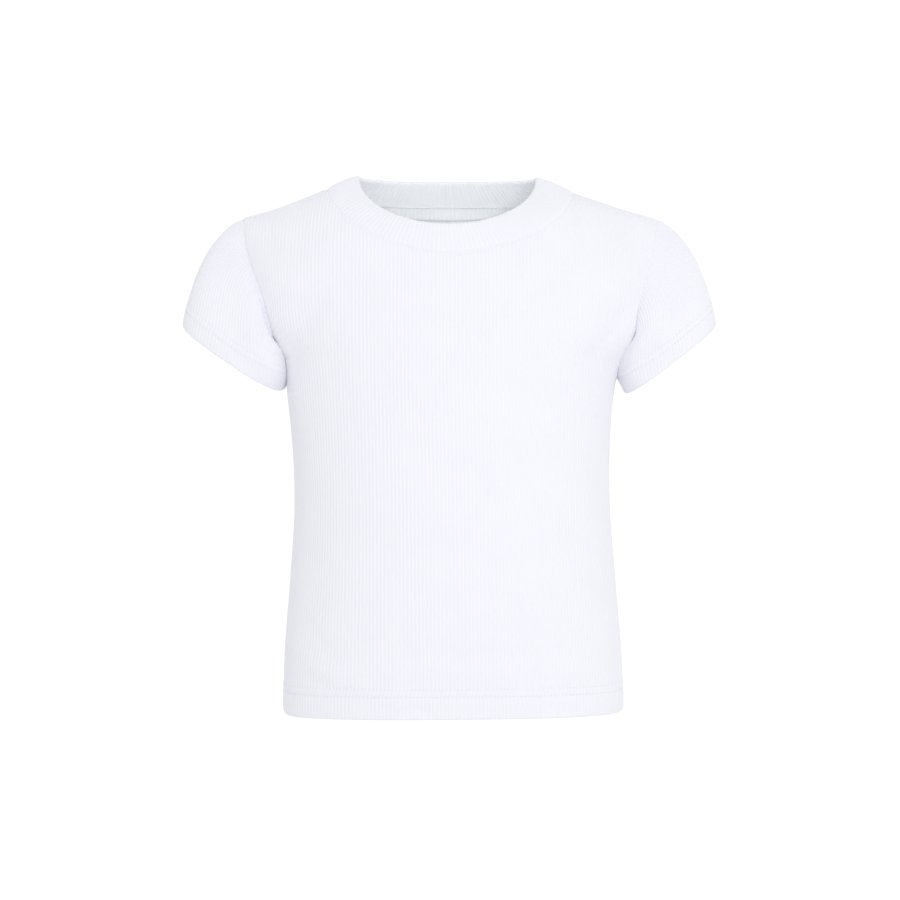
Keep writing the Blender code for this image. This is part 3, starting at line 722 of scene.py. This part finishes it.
def panel_levels(side):
    """The height of each of a panel's points: even rows from the hem to the underarm, then shares of what
    each rib has left."""
    lower = [HEM_Z + row for row in HEM_ROWS]
    count = round((UNDERARM_Z - lower[-1]) / BODY_STEP)
    lower += list(np.linspace(lower[-1], UNDERARM_Z, count + 1)[1:])
    levels = np.repeat(np.array(lower)[:, None], PANEL_COLUMNS + 1, axis=1)
    shares = np.linspace(0, 1, UPPER_ROWS + 1)[1:]
    return np.vstack([levels, upper_levels(side, panel_shares, shares, SEAM_ROWS)])


def panel_surface(side, folds):
    """The outside of a panel without its relief: points, the way it faces, heights and rib numbers."""
    levels = panel_levels(side)
    points = body_point(side, panel_shares[None, :], levels)
    facing = outward(points, flip=side > 0)
    edge = np.minimum(
        np.linalg.norm(points - points[:, :1], axis=2), np.linalg.norm(points - points[:, -1:], axis=2)
    )
    top = np.linalg.norm(points - points[-1:], axis=2)
    lift = fold_height(points[..., 0], points[..., 2], folds) * off_seam(edge / EDGE_FOLDS)
    rise = np.where(panel_shares < 0, SEAM_RISES[-1], SEAM_RISES[1])
    lift += stitched_dip(levels - HEM_Z, HEM_STITCHES) + rise * off_seam(edge)
    lift *= off_seam(top)
    run = walked(points)
    ribs = panel_ribs(side, np.broadcast_to(panel_shares, levels.shape), levels)
    return points + facing * lift[..., None], facing, run, ribs + slanted(run, HEM_STITCHES)


def make_panel(side, folds):
    grid, heights, ribs = with_turn_up(*panel_surface(side, folds), TURN_UP)
    grid_facing = outward(grid, flip=side > 0)
    grid = with_allowance(grid, grid_facing, axis=1)
    heights = np.pad(heights, ((0, 0), (1, 1)), mode="edge")
    ribs = np.pad(ribs, ((0, 0), (1, 1)), mode="reflect", reflect_type="odd")
    piece = cloth_piece(side_name(side) + "_cloth", grid, ribs, heights, flip=side > 0)
    return finish_cloth(piece, rib_knit, CLOTH, side_name(side) + "_panel")


front = make_panel(-1, FRONT_FOLDS)
back = make_panel(1, BACK_FOLDS)

# %% [markdown]
# ## Sleeves
# A set-in sleeve is a tube. Its ribs leave the armhole seam, turn over the shoulder and end at the cuff.
# A bent cylinder would not meet the armhole, so each rib here is a curve that starts in one direction on
# the armhole seam and arrives in another at the cuff. Directions are for a sleeve at +X.

# %% Sleeve form
SLEEVE_START_TOP = (0.89, 0.0, -0.45)
SLEEVE_START_UNDER = (0.30, 0.0, -0.95)
SLEEVE_SWELL = (0.32, 0.80)  # how much it swells to front and back, and what is added near the underarm
SLEEVE_END = (0.20, 0.10, -0.97)
SLEEVE_PULL = 1.08  # length of the curve's handles, as a share of the straight distance
ARMHOLE_STATIONS = 60
CUFF_CORNER = np.array([-0.0018, 0, 0.0022])  # the cuff's outer corner is drawn in and up
CORNER_REACH = 0.06  # in turns round the cuff
CUFF_ROUND = 2.7  # 2 is an oval, higher is boxier
CAP_LEAN = 0.17  # how far the ribs lean towards the shoulder on their way up to the armhole


def sleeve_start(hand, turn):
    """Which way the cloth leaves the armhole. A turn of 0 or 1 is at the shoulder, 0.5 is underneath."""
    low = (1 - np.cos(2 * math.pi * turn))[:, None] / 2
    start = (1 - low) * SLEEVE_START_TOP + low * SLEEVE_START_UNDER
    start[:, 1] -= (SLEEVE_SWELL[0] + SLEEVE_SWELL[1] * low[:, 0] ** 2) * np.sin(2 * math.pi * turn)
    return unit(start * (hand, 1, 1))


def armhole_loop(hand):
    """The armhole seam from the shoulder down the front and up the back, and each point's turn."""
    shares = np.linspace(0, 1, ARMHOLE_STATIONS) ** 1.4
    edge = np.array([1.0])
    front_levels = upper_levels(-1, edge, shares)[::-1, 0]
    back_levels = upper_levels(1, edge, shares)[:, 0]
    points = np.vstack([body_point(-1, hand, front_levels), body_point(1, hand, back_levels[1:])])
    points[[0, -1]] = points[[0, -1]].mean(axis=0)
    half = ARMHOLE_STATIONS - 1
    run_front, run_back = walked(points[: half + 1]), walked(points[half:])
    turns = np.concatenate([0.5 * run_front / run_front[-1], 0.5 + 0.5 * run_back[1:] / run_back[-1]])
    return points, turns


def cuff_edge(row, turn):
    """The cuff's outline, from its outer corner by the front and the underarm side."""
    hand = row["side"]
    outer = np.array([hand * row["outer_x"], 0, row["outer_z"]])
    inner = np.array([hand * row["inner_x"], 0, row["inner_z"]])
    across = (outer - inner) / 2
    down = unit(np.array([across[2] * hand, 0, -across[0] * hand]))
    front_way = np.array([0, -row["half_depth"], 0]) + down * row["front_fall"]
    angle = np.linspace(0, 2 * math.pi, 721)[:, None]
    wide, deep = np.cos(angle), np.sin(angle)
    size = (np.abs(wide) ** CUFF_ROUND + np.abs(deep) ** CUFF_ROUND) ** (-1 / CUFF_ROUND)
    edge = line_along((outer + inner) / 2 + wide * size * across + deep * size * front_way, turn)
    at_corner = bell(np.minimum(turn, 1 - turn), CORNER_REACH)[:, None]
    return edge + at_corner * CUFF_CORNER * (hand, 1, 1)


def seam_turn(turn):
    """Where on the armhole seam a rib ends that leaves the cuff at some turn."""
    half = 2 * np.minimum(turn, 1 - turn)
    half = (half - CAP_LEAN * np.sin(math.pi * half)) / 2
    return np.where(turn < 0.5, half, 1 - half)


def sleeve_ribs(row, start, turn, t):
    """Points along every rib, from the armhole to the cuff."""
    hand = row["side"]
    end = cuff_edge(row, turn)
    pull = SLEEVE_PULL * np.linalg.norm(end - start, axis=1, keepdims=True)
    leave = sleeve_start(hand, seam_turn(turn)) * pull
    arrive = unit(np.array(SLEEVE_END) * (hand, 1, 1)) * pull
    t = t[:, None, None]
    return (
        (2 * t**3 - 3 * t**2 + 1) * start
        + (t**3 - 2 * t**2 + t) * leave
        + (3 * t**2 - 2 * t**3) * end
        + (t**3 - t**2) * arrive
    )


print("right cuff's outer corner:", cuff_edge(SLEEVES[0], np.zeros(1)).round(4))

# %% [markdown]
# ### Sleeve cloth
# The seam lies a little lower than the cloth beside it, as on the photographed shirt's right side, where
# the panel's edge stands in front of the sleeve. At the armpits tucks press the sleeve to the body.

# %% Sleeve folds and tucks
RIGHT_SLEEVE_FOLDS = [
    fold([(-140, -98), (-136, -116), (-129, -132)], 5.0, -1.6),
    fold([(-150, -92), (-147, -112), (-139, -130)], 6.0, 0.9),
    fold([(-163, -122), (-150, -132), (-139, -137)], 4.0, -0.5),
]
LEFT_SLEEVE_FOLDS = [
    fold([(136, -104), (134, -122), (131, -138)], 4.5, -1.5),
    fold([(142, -120), (147, -115), (153, -113)], 2.6, 0.8),
    fold([(139, -127), (146, -122), (155, -119)], 2.4, -0.8),
    fold([(137, -134), (145, -129), (153, -126)], 2.6, 0.7),
    fold([(152, -84), (149, -104), (143, -118)], 6.0, 0.7),
]
SLEEVE_BACK_FOLDS = [
    fold([(141, -96), (137, -116), (131, -134)], 5.0, -1.5),
    fold([(150, -90), (146, -112), (138, -130)], 6.0, 0.9),
]

TUCKS = table(
    "side x z across back reach",
    [
        (-1, -0.1255, -0.1330, 0.0055, -0.0060, 0.012),
        (-1, -0.1290, -0.1200, 0.0055, -0.0020, 0.010),
        (1, 0.1280, -0.1330, -0.0060, -0.0020, 0.012),
        (1, 0.1320, -0.1190, -0.0060, -0.0005, 0.011),
    ],
)
TUCK_BACK = 0.018  # tucks fade to nothing this far behind the middle
TUCK_FADE = 0.024
TUCK_START = 0.004  # they reach their full depth this far from the seam


def press_tucks(points, hand, seam):
    """Presses the front of a sleeve to the body, but leaves the seam in its place."""
    in_front = np.clip((TUCK_BACK - points[..., 1]) / TUCK_FADE, 0, 1) * np.clip(seam / TUCK_START, 0, 1)
    pressed = np.zeros_like(points)
    for tuck in TUCKS[TUCKS["side"] == hand]:
        away = np.hypot(points[..., 0] - tuck["x"], points[..., 2] - tuck["z"])
        near = bell(away, tuck["reach"]) * in_front
        pressed += near[..., None] * (tuck["across"], tuck["back"], 0)
    return points + pressed


SINK = {-1: 0.0018, 1: 0.0003}  # how far a sleeve lies behind the panel's edge
SINK_AT = 0.0018  # deepest this far from the seam
SINK_REACH = 0.0032
SINK_START = 0.10  # in turns from the shoulder, down the front
SINK_OVER = 0.38
SINK_EVEN = 1.4  # higher keeps it at its full depth over more of the front
SINK_ELSEWHERE = 0.3


def seam_sink(hand, turns, seam):
    """How far the sleeve sinks at some turns and distances from the seam."""
    arc = np.clip((turns - SINK_START) / SINK_OVER, 0, 1) * math.pi
    in_front = np.clip(np.sin(arc) * SINK_EVEN, 0, 1)
    return SINK[hand] * bell(seam - SINK_AT, SINK_REACH) * (SINK_ELSEWHERE + (1 - SINK_ELSEWHERE) * in_front)


print("tucks:", len(TUCKS))

# %% Sleeve cloth
CUFF_STITCHES = (0.0115, 0.0165)  # above the cuff's edge
CUFF_ROWS = (0.0, 0.0025, 0.0055, 0.0085, 0.0107, 0.0115, 0.0123, 0.014, 0.0157, 0.0165, 0.0173, 0.019)
CUFF_TURN_UP = (0.0172, 0.0135, 0.009, 0.0045, 0.0)
SLEEVE_ROWS = 18
RIB_STEPS = 60  # points on a rib's curve while it is measured
MIDDLE_REACH = 0.010  # folds fade this close to the line between front and back


def sleeve_grid(row, turns):
    """Points of the filled-out sleeve, from the cuff up to the armhole."""
    loop, loop_turns = armhole_loop(row["side"])
    seam_at = seam_turn(turns)
    start = np.stack([np.interp(seam_at, loop_turns, loop[:, k]) for k in range(3)], axis=1)
    fine = sleeve_ribs(row, start, turns, np.linspace(0, 1, RIB_STEPS))[::-1]
    reach = walked(fine)[-1]
    rows = [np.full(len(turns), height) for height in CUFF_ROWS]
    last = rows[-1]
    shares = np.linspace(0, 1, SLEEVE_ROWS + 1)[1:]
    rows += [last + (reach - SEAM_ROWS[0] * FIRST_ROW_SPACE - last) * share for share in shares]
    rows += [reach - distance for distance in SEAM_ROWS]
    return grid_along(fine, rows)


def sleeve_surface(row, folds):
    """A sleeve's outside without its relief: points, the way it faces, heights and rib numbers."""
    hand = int(row["side"])
    turns = np.linspace(0, 1, RIBS_PER_SLEEVE * POINTS_PER_RIB + 1)
    points = sleeve_grid(row, turns)
    wrapped = np.concatenate([points[:, -2:-1], points, points[:, 1:2]], axis=1)
    facing = outward(wrapped, flip=hand > 0)[:, 1:-1]
    x, y, z = np.moveaxis(points, -1, 0)
    shown = np.where(y < 0, fold_height(x, z, folds), 0)
    hidden = np.where(y > 0, fold_height(np.abs(x), z, SLEEVE_BACK_FOLDS), 0)
    run = walked(points)
    lift = (shown + hidden) * np.clip(np.abs(y) / MIDDLE_REACH, 0, 1) + stitched_dip(run, CUFF_STITCHES)
    seam = np.linalg.norm(points - points[-1:], axis=2)
    lift = (lift + SEAM_RISES[hand] - seam_sink(hand, turns, seam)) * off_seam(seam)
    points = press_tucks(points + facing * lift[..., None], hand, seam)
    return points, facing, run, RIBS_PER_SLEEVE * turns + slanted(run, CUFF_STITCHES)


def make_sleeve(row, folds):
    hand = "left" if row["side"] > 0 else "right"
    grid, heights, ribs = with_turn_up(*sleeve_surface(row, folds), CUFF_TURN_UP)
    piece = cloth_piece(hand + "_sleeve_cloth", grid, ribs, heights, flip=row["side"] > 0, ring=True)
    return finish_cloth(piece, rib_knit, CLOTH, hand + "_sleeve")


right_sleeve = make_sleeve(SLEEVES[0], RIGHT_SLEEVE_FOLDS)
left_sleeve = make_sleeve(SLEEVES[1], LEFT_SLEEVE_FOLDS)

# %% [markdown]
# ## Neckband
# The neckband is a strip cut double and folded lengthwise, sewn on with the fold at the top. So the grid
# goes up the outside, over the fold, and down the inside. Its ribs stand across the strip. A curve with a
# bevel would make a rope, so the band is laid between two lines, the seam and the fold.

# %% Neckband
BAND_THICK = 0.0020
BAND_CLOTH = 0.0006  # one layer, pressed thinner than the panels
BAND_SWELL = 0.0010
BAND_WIDTH = 0.025
BAND_SHARES = (0, 0.03, 0.07, 0.13, 0.22, 0.32, 0.43, 0.54, 0.65, 0.76, 0.88, 1)
BAND_FOLD_STEPS = 7
BAND_INSIDE_RIBS = 0.8  # share of the relief that shows inside
NECK_POINTS = 241


def neckline(side, count):
    """Evenly spaced points along the neckline seam, from -X to +X."""
    shares = np.linspace(-NECK_SHARE, NECK_SHARE, NECK_POINTS)
    points = body_point(side, shares, rib_top(side, shares))
    return line_along(points, np.linspace(0, 1, count))


def band_edge(side, count):
    """Evenly spaced points along the neckband's fold, from -X to +X."""
    row = neck_row(side)
    across = -np.cos(np.linspace(0, math.pi, 2 * NECK_POINTS - 2))
    x = across * np.where(across < 0, BAND_TOP_RIGHT, BAND_TOP_LEFT)
    inside = np.clip(np.abs(across), 0, 1)
    y = side * row["top_depth"] * (1 - inside ** row["plan_round"]) ** (1 / row["plan_round"])
    drop = (1 - inside ** row["top_round"]) ** (1 / row["top_round"])
    z = BAND_TOP_Z + (row["top_height"] - BAND_TOP_Z) * drop
    return line_along(np.stack([x, y, z], axis=1), np.linspace(0, 1, count))


def band_lines():
    """The seam and the fold all round, from the wearer's right neck point by the front."""
    seam, top = [], []
    for side, ribs in ((-1, BAND_RIBS_FRONT), (1, BAND_RIBS_BACK)):
        count = ribs * POINTS_PER_RIB + 1
        way = slice(None, -1) if side < 0 else slice(None, 0, -1)
        seam.append(neckline(side, count)[way])
        top.append(band_edge(side, count)[way])
    seam, top = np.vstack(seam), np.vstack(top)
    return np.vstack([seam, seam[:1]]), np.vstack([top, top[:1]])


def band_facing(seam, top):
    around = np.roll(seam[:-1], -1, axis=0) - np.roll(seam[:-1], 1, axis=0)
    around = unit(np.vstack([around, around[:1]]))
    return unit(np.cross(around, top - seam))


def make_neckband():
    seam, top = band_lines()
    facing = band_facing(seam, top)
    rise = unit(top - seam)
    half = BAND_THICK / 2
    ribs = np.linspace(0, BAND_RIBS_FRONT + BAND_RIBS_BACK, len(seam))
    relief = rib_height(ribs)[:, None]
    width = np.linalg.norm(top - seam, axis=1)
    fold = top - rise * half
    rows, heights = [], []
    for t in BAND_SHARES:
        swell = (BAND_SWELL * math.sin(math.pi * t) + SEAM_RISE + relief) * off_seam(t * BAND_WIDTH)
        rows.append(seam + (fold - seam) * t + facing * swell)
        heights.append(width * t)
    for angle in np.linspace(0, math.pi, BAND_FOLD_STEPS)[1:-1]:
        out = facing * math.cos(angle) + rise * math.sin(angle)
        inset = half - SEAM_RISE * (1 - angle / math.pi)
        rows.append(fold - facing * inset + out * (half + relief))
        heights.append(width + half * angle)
    for t in BAND_SHARES[::-1]:
        rows.append(seam + (fold - seam) * t - facing * (BAND_THICK + relief * BAND_INSIDE_RIBS))
        heights.append(width * (2 - t))
    rows.append(rows[0])
    heights.append(width * 2 + BAND_THICK)
    ribs = np.repeat(ribs[None, :], len(rows), axis=0)
    piece = cloth_piece("neckband_cloth", np.array(rows), ribs, np.array(heights), ring=True)
    return finish_cloth(piece, band_knit, BAND_CLOTH, "neckband")


neckband = make_neckband()

# %% [markdown]
# ## Back neck tape
# Inside the back a narrow tape covers the neckband's seam from shoulder to shoulder. It has its own,
# coarser ribs, and a row of stitches along each edge. It lies on the back, so it is read from the back's
# surface and moved inwards.

# %% Tape
TAPE_START = 0.0008  # below the neckband's seam
TAPE_WIDTH = 0.0105
TAPE_DROP = 1.7 * TAPE_WIDTH  # how far down the back is measured
TAPE_ROWS = 11
TAPE_CLOTH = 0.0005
TAPE_REACH = 0.5333  # share of the back's half width
TAPE_RIBS = 56
TAPE_GAP = 0.0013  # from the outside of the back
TAPE_RELIEF = 1.25  # of a panel's rib
TAPE_SWELL = 0.0004
PINCH_FLAT = 0.6  # what the stitches take off the relief
PINCH_REACH = 0.12  # share of the tape's width


def tape_surface():
    shares = np.linspace(-TAPE_REACH, TAPE_REACH, TAPE_RIBS * POINTS_PER_RIB + 1)
    levels = rib_top(1, shares) - np.linspace(0, TAPE_DROP, 40)[:, None]
    fine = body_point(1, shares[None, :], levels)
    rows = [np.full(len(shares), TAPE_START + TAPE_WIDTH * t) for t in np.linspace(1, 0, TAPE_ROWS)]
    points = grid_along(fine, rows)
    return points, outward(points, flip=True), walked(points)


def make_tape():
    points, facing, run = tape_surface()
    ribs = np.repeat(np.linspace(0, TAPE_RIBS, points.shape[1])[None, :], len(points), axis=0)
    t = run / run[-1:]
    pinch = bell(t, PINCH_REACH) + bell(1 - t, PINCH_REACH)
    depth = TAPE_GAP + rib_height(ribs) * (TAPE_RELIEF - PINCH_FLAT * pinch) + TAPE_SWELL * (1 - pinch)
    piece = cloth_piece("neck_tape_cloth", points - facing * depth[..., None], ribs, run)
    return finish_cloth(piece, tape_knit, TAPE_CLOTH, "neck_tape")


neck_tape = make_tape()

# %% [markdown]
# ## Stitches
# Sewing thread shows as short dashes: two rows round the hem and each cuff, one row under the neckband,
# and one along each edge of the tape. An image of stitches would lie flat, so each dash is a small
# flattened ball that lies half in the cloth. There are over a thousand, so a ball has few faces.

# %% Stitches
DASH = (0.0020, 0.0005, 0.0005)  # length, width and depth
DASH_LIFT = RIB_RELIEF * 0.75


def sew(name, places, ways, facings, length, width, depth):
    """One object with a dash of thread at each place."""
    bm = bmesh.new()
    for place, way, facing in zip(settle(np.array(places)), ways, facings):
        side_way = np.cross(facing, way)
        turn = Matrix(np.stack([way, side_way, facing], axis=1).tolist()).to_4x4()
        size = Matrix.Diagonal((length / 2, width / 2, depth / 2, 1))
        matrix = Matrix.Translation(Vector(place)) @ turn @ size
        bmesh.ops.create_uvsphere(bm, u_segments=6, v_segments=4, radius=1, matrix=matrix)
    mesh = bpy.data.meshes.new(name)
    bm.to_mesh(mesh)
    bm.free()
    mesh.uv_layers.new(name="weave")
    mesh.shade_smooth()
    piece = bpy.data.objects.new(name, mesh)
    bpy.context.scene.collection.objects.link(piece)
    piece.data.materials.append(thread)
    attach(piece, "root")
    print(name, "dashes", len(places))
    return piece


def row_of_dashes(surface, heights):
    """A dash on every rib of a surface, at some heights above its first row."""
    points, facing, run, _ = surface
    places, ways, facings = [], [], []
    middle = np.arange(POINTS_PER_RIB // 2, points.shape[1] - 1, POINTS_PER_RIB)
    for height in heights:
        row = int(np.argmin(np.abs(run[:, 0] - height)))
        places += list(points[row, middle] + facing[row, middle] * DASH_LIFT)
        ways += list(unit(points[row, middle + 1] - points[row, middle - 1]))
        facings += list(facing[row, middle])
    ways, facings = np.array(ways), np.array(facings)
    facings = unit(facings - ways * (facings * ways).sum(axis=1, keepdims=True))
    return np.array(places), ways, facings


def join_rows(*rows):
    return [np.vstack(part) for part in zip(*rows)]


hem_surfaces = (panel_surface(-1, FRONT_FOLDS), panel_surface(1, BACK_FOLDS))
hem_dashes = join_rows(*[row_of_dashes(surface, HEM_STITCHES) for surface in hem_surfaces])
hem_stitches = sew("hem_stitches", *hem_dashes, *DASH)
right_cuff = row_of_dashes(sleeve_surface(SLEEVES[0], RIGHT_SLEEVE_FOLDS), CUFF_STITCHES)
right_cuff_stitches = sew("right_cuff_stitches", *right_cuff, *DASH)
left_cuff = row_of_dashes(sleeve_surface(SLEEVES[1], LEFT_SLEEVE_FOLDS), CUFF_STITCHES)
left_cuff_stitches = sew("left_cuff_stitches", *left_cuff, *DASH)


# %% Neckband and tape stitches
TOPSTITCH = (0.0022, 0.0008, 0.0009)
TOPSTITCH_DROP = 0.0022
TOPSTITCH_LIFT = RIB_RELIEF * 0.3
STITCH_PITCH = 0.0027
NEAR_SEAM = 0.004  # how far below the seam the panel's slope is read
TAPE_DASH = (0.0020, 0.0006, 0.0006)
TAPE_DASH_LIFT = 0.0006
TAPE_DASH_STEP = 3  # columns of the tape's grid


def topstitch_row(side):
    """Dashes on a panel, a little below the neckband's seam."""
    seam = neckline(side, 400)
    count = round(walked(seam)[-1] / STITCH_PITCH)
    seam = line_along(seam, (np.arange(count) + 0.5) / count)
    way = unit(np.gradient(seam, axis=0))
    shares = np.linspace(-NECK_SHARE, NECK_SHARE, NECK_POINTS)
    known = body_point(side, shares, rib_top(side, shares))
    below = body_point(side, shares, rib_top(side, shares) - NEAR_SEAM)
    share_at = np.interp(walked(seam), walked(known), shares)
    near = np.stack([np.interp(share_at, shares, below[:, k]) for k in range(3)], axis=1)
    facing = unit(-side * np.cross(way, seam - near))
    down = unit(np.cross(facing, way) * side)
    down *= np.sign(((near - seam) * down).sum(axis=1, keepdims=True))
    return seam + down * TOPSTITCH_DROP + facing * TOPSTITCH_LIFT, way, facing


topstitch = sew("neck_topstitch", *join_rows(topstitch_row(-1), topstitch_row(1)), *TOPSTITCH)


def tape_row(share):
    """Dashes on the tape's inside, at a share of its width from the lower edge."""
    points, facing, _ = tape_surface()
    row = int(round(share * (len(points) - 1)))
    middle = np.arange(1, points.shape[1] - 1, TAPE_DASH_STEP)
    ways = unit(points[row, middle + 1] - points[row, middle - 1])
    inward = -facing[row, middle]
    return points[row, middle] + inward * (TAPE_GAP + TAPE_DASH_LIFT), ways, inward


tape_stitches = sew("tape_stitches", *join_rows(tape_row(0.1), tape_row(0.95)), *TAPE_DASH)

# %% [markdown]

# %% [markdown]
# ## Light and floor
# The studio is white all round, so the shirt has hardly any shadow. The camera itself sees a purer white,
# as in a photograph that was cut out. A soft light at the right of the camera leaves the ribs at the left
# a little darker. White cloth lets light through, and a dim light inside the neck stands in for that.

# %% World
AMBIENT = (0.905, 0.910, 0.897, 1)
world = bpy.data.worlds.new("white_studio")
world.use_nodes = True
world_nodes, world_links = world.node_tree.nodes, world.node_tree.links
world_nodes["Background"].inputs["Color"].default_value = AMBIENT
backdrop = world_nodes.new("ShaderNodeBackground")
backdrop.inputs["Color"].default_value = (1, 1, 1, 1)
backdrop.inputs["Strength"].default_value = 1.05
seen = world_nodes.new("ShaderNodeLightPath")
either = world_nodes.new("ShaderNodeMixShader")
world_links.new(seen.outputs["Is Camera Ray"], either.inputs[0])
world_links.new(world_nodes["Background"].outputs[0], either.inputs[1])
world_links.new(backdrop.outputs[0], either.inputs[2])
world_links.new(either.outputs[0], world_nodes["World Output"].inputs["Surface"])
bpy.context.scene.world = world
bpy.context.scene.view_settings.view_transform = "Standard"
print("ambient light:", AMBIENT)


# %% Lights and floor
def soft_light(name, place, aim, energy, size, colour):
    data = bpy.data.lights.new(name, "AREA")
    data.energy = energy
    data.color = colour
    data.size = size
    light = bpy.data.objects.new(name, data)
    light.location = place
    light.rotation_euler = (Vector(aim) - Vector(place)).to_track_quat("-Z", "Y").to_euler()
    bpy.context.scene.collection.objects.link(light)
    return light


soft_light("key_light", (0.71, -2.15, 0.30), (0, 0, -0.19), 9.0, 0.4, (1.0, 0.975, 0.975))
neck_fill = soft_light("neck_fill", (0, -0.030, -0.060), (0, 0.045, 0), 0.031, 0.10, (0.94, 1.0, 0.85))
neck_fill.data.shape = "RECTANGLE"
neck_fill.data.size_y = 0.02

FLOOR_Z = -0.75
floor_place = Matrix.Translation((0, 0, FLOOR_Z))
bm = bmesh.new()
bmesh.ops.create_circle(bm, cap_ends=True, segments=96, radius=1.45, matrix=floor_place)
floor_mesh = bpy.data.meshes.new("floor")
bm.to_mesh(floor_mesh)
bm.free()
floor = bpy.data.objects.new("floor", floor_mesh)
bpy.context.scene.collection.objects.link(floor)
floor_paint = bpy.data.materials.new("pale_floor")
floor_paint.use_nodes = True
floor_shader = floor_paint.node_tree.nodes["Principled BSDF"]
floor_shader.inputs["Base Color"].default_value = (0.9, 0.9, 0.9, 1)
floor_shader.inputs["Roughness"].default_value = 0.8
floor_mesh.materials.append(floor_paint)
print("floor at", FLOOR_Z)
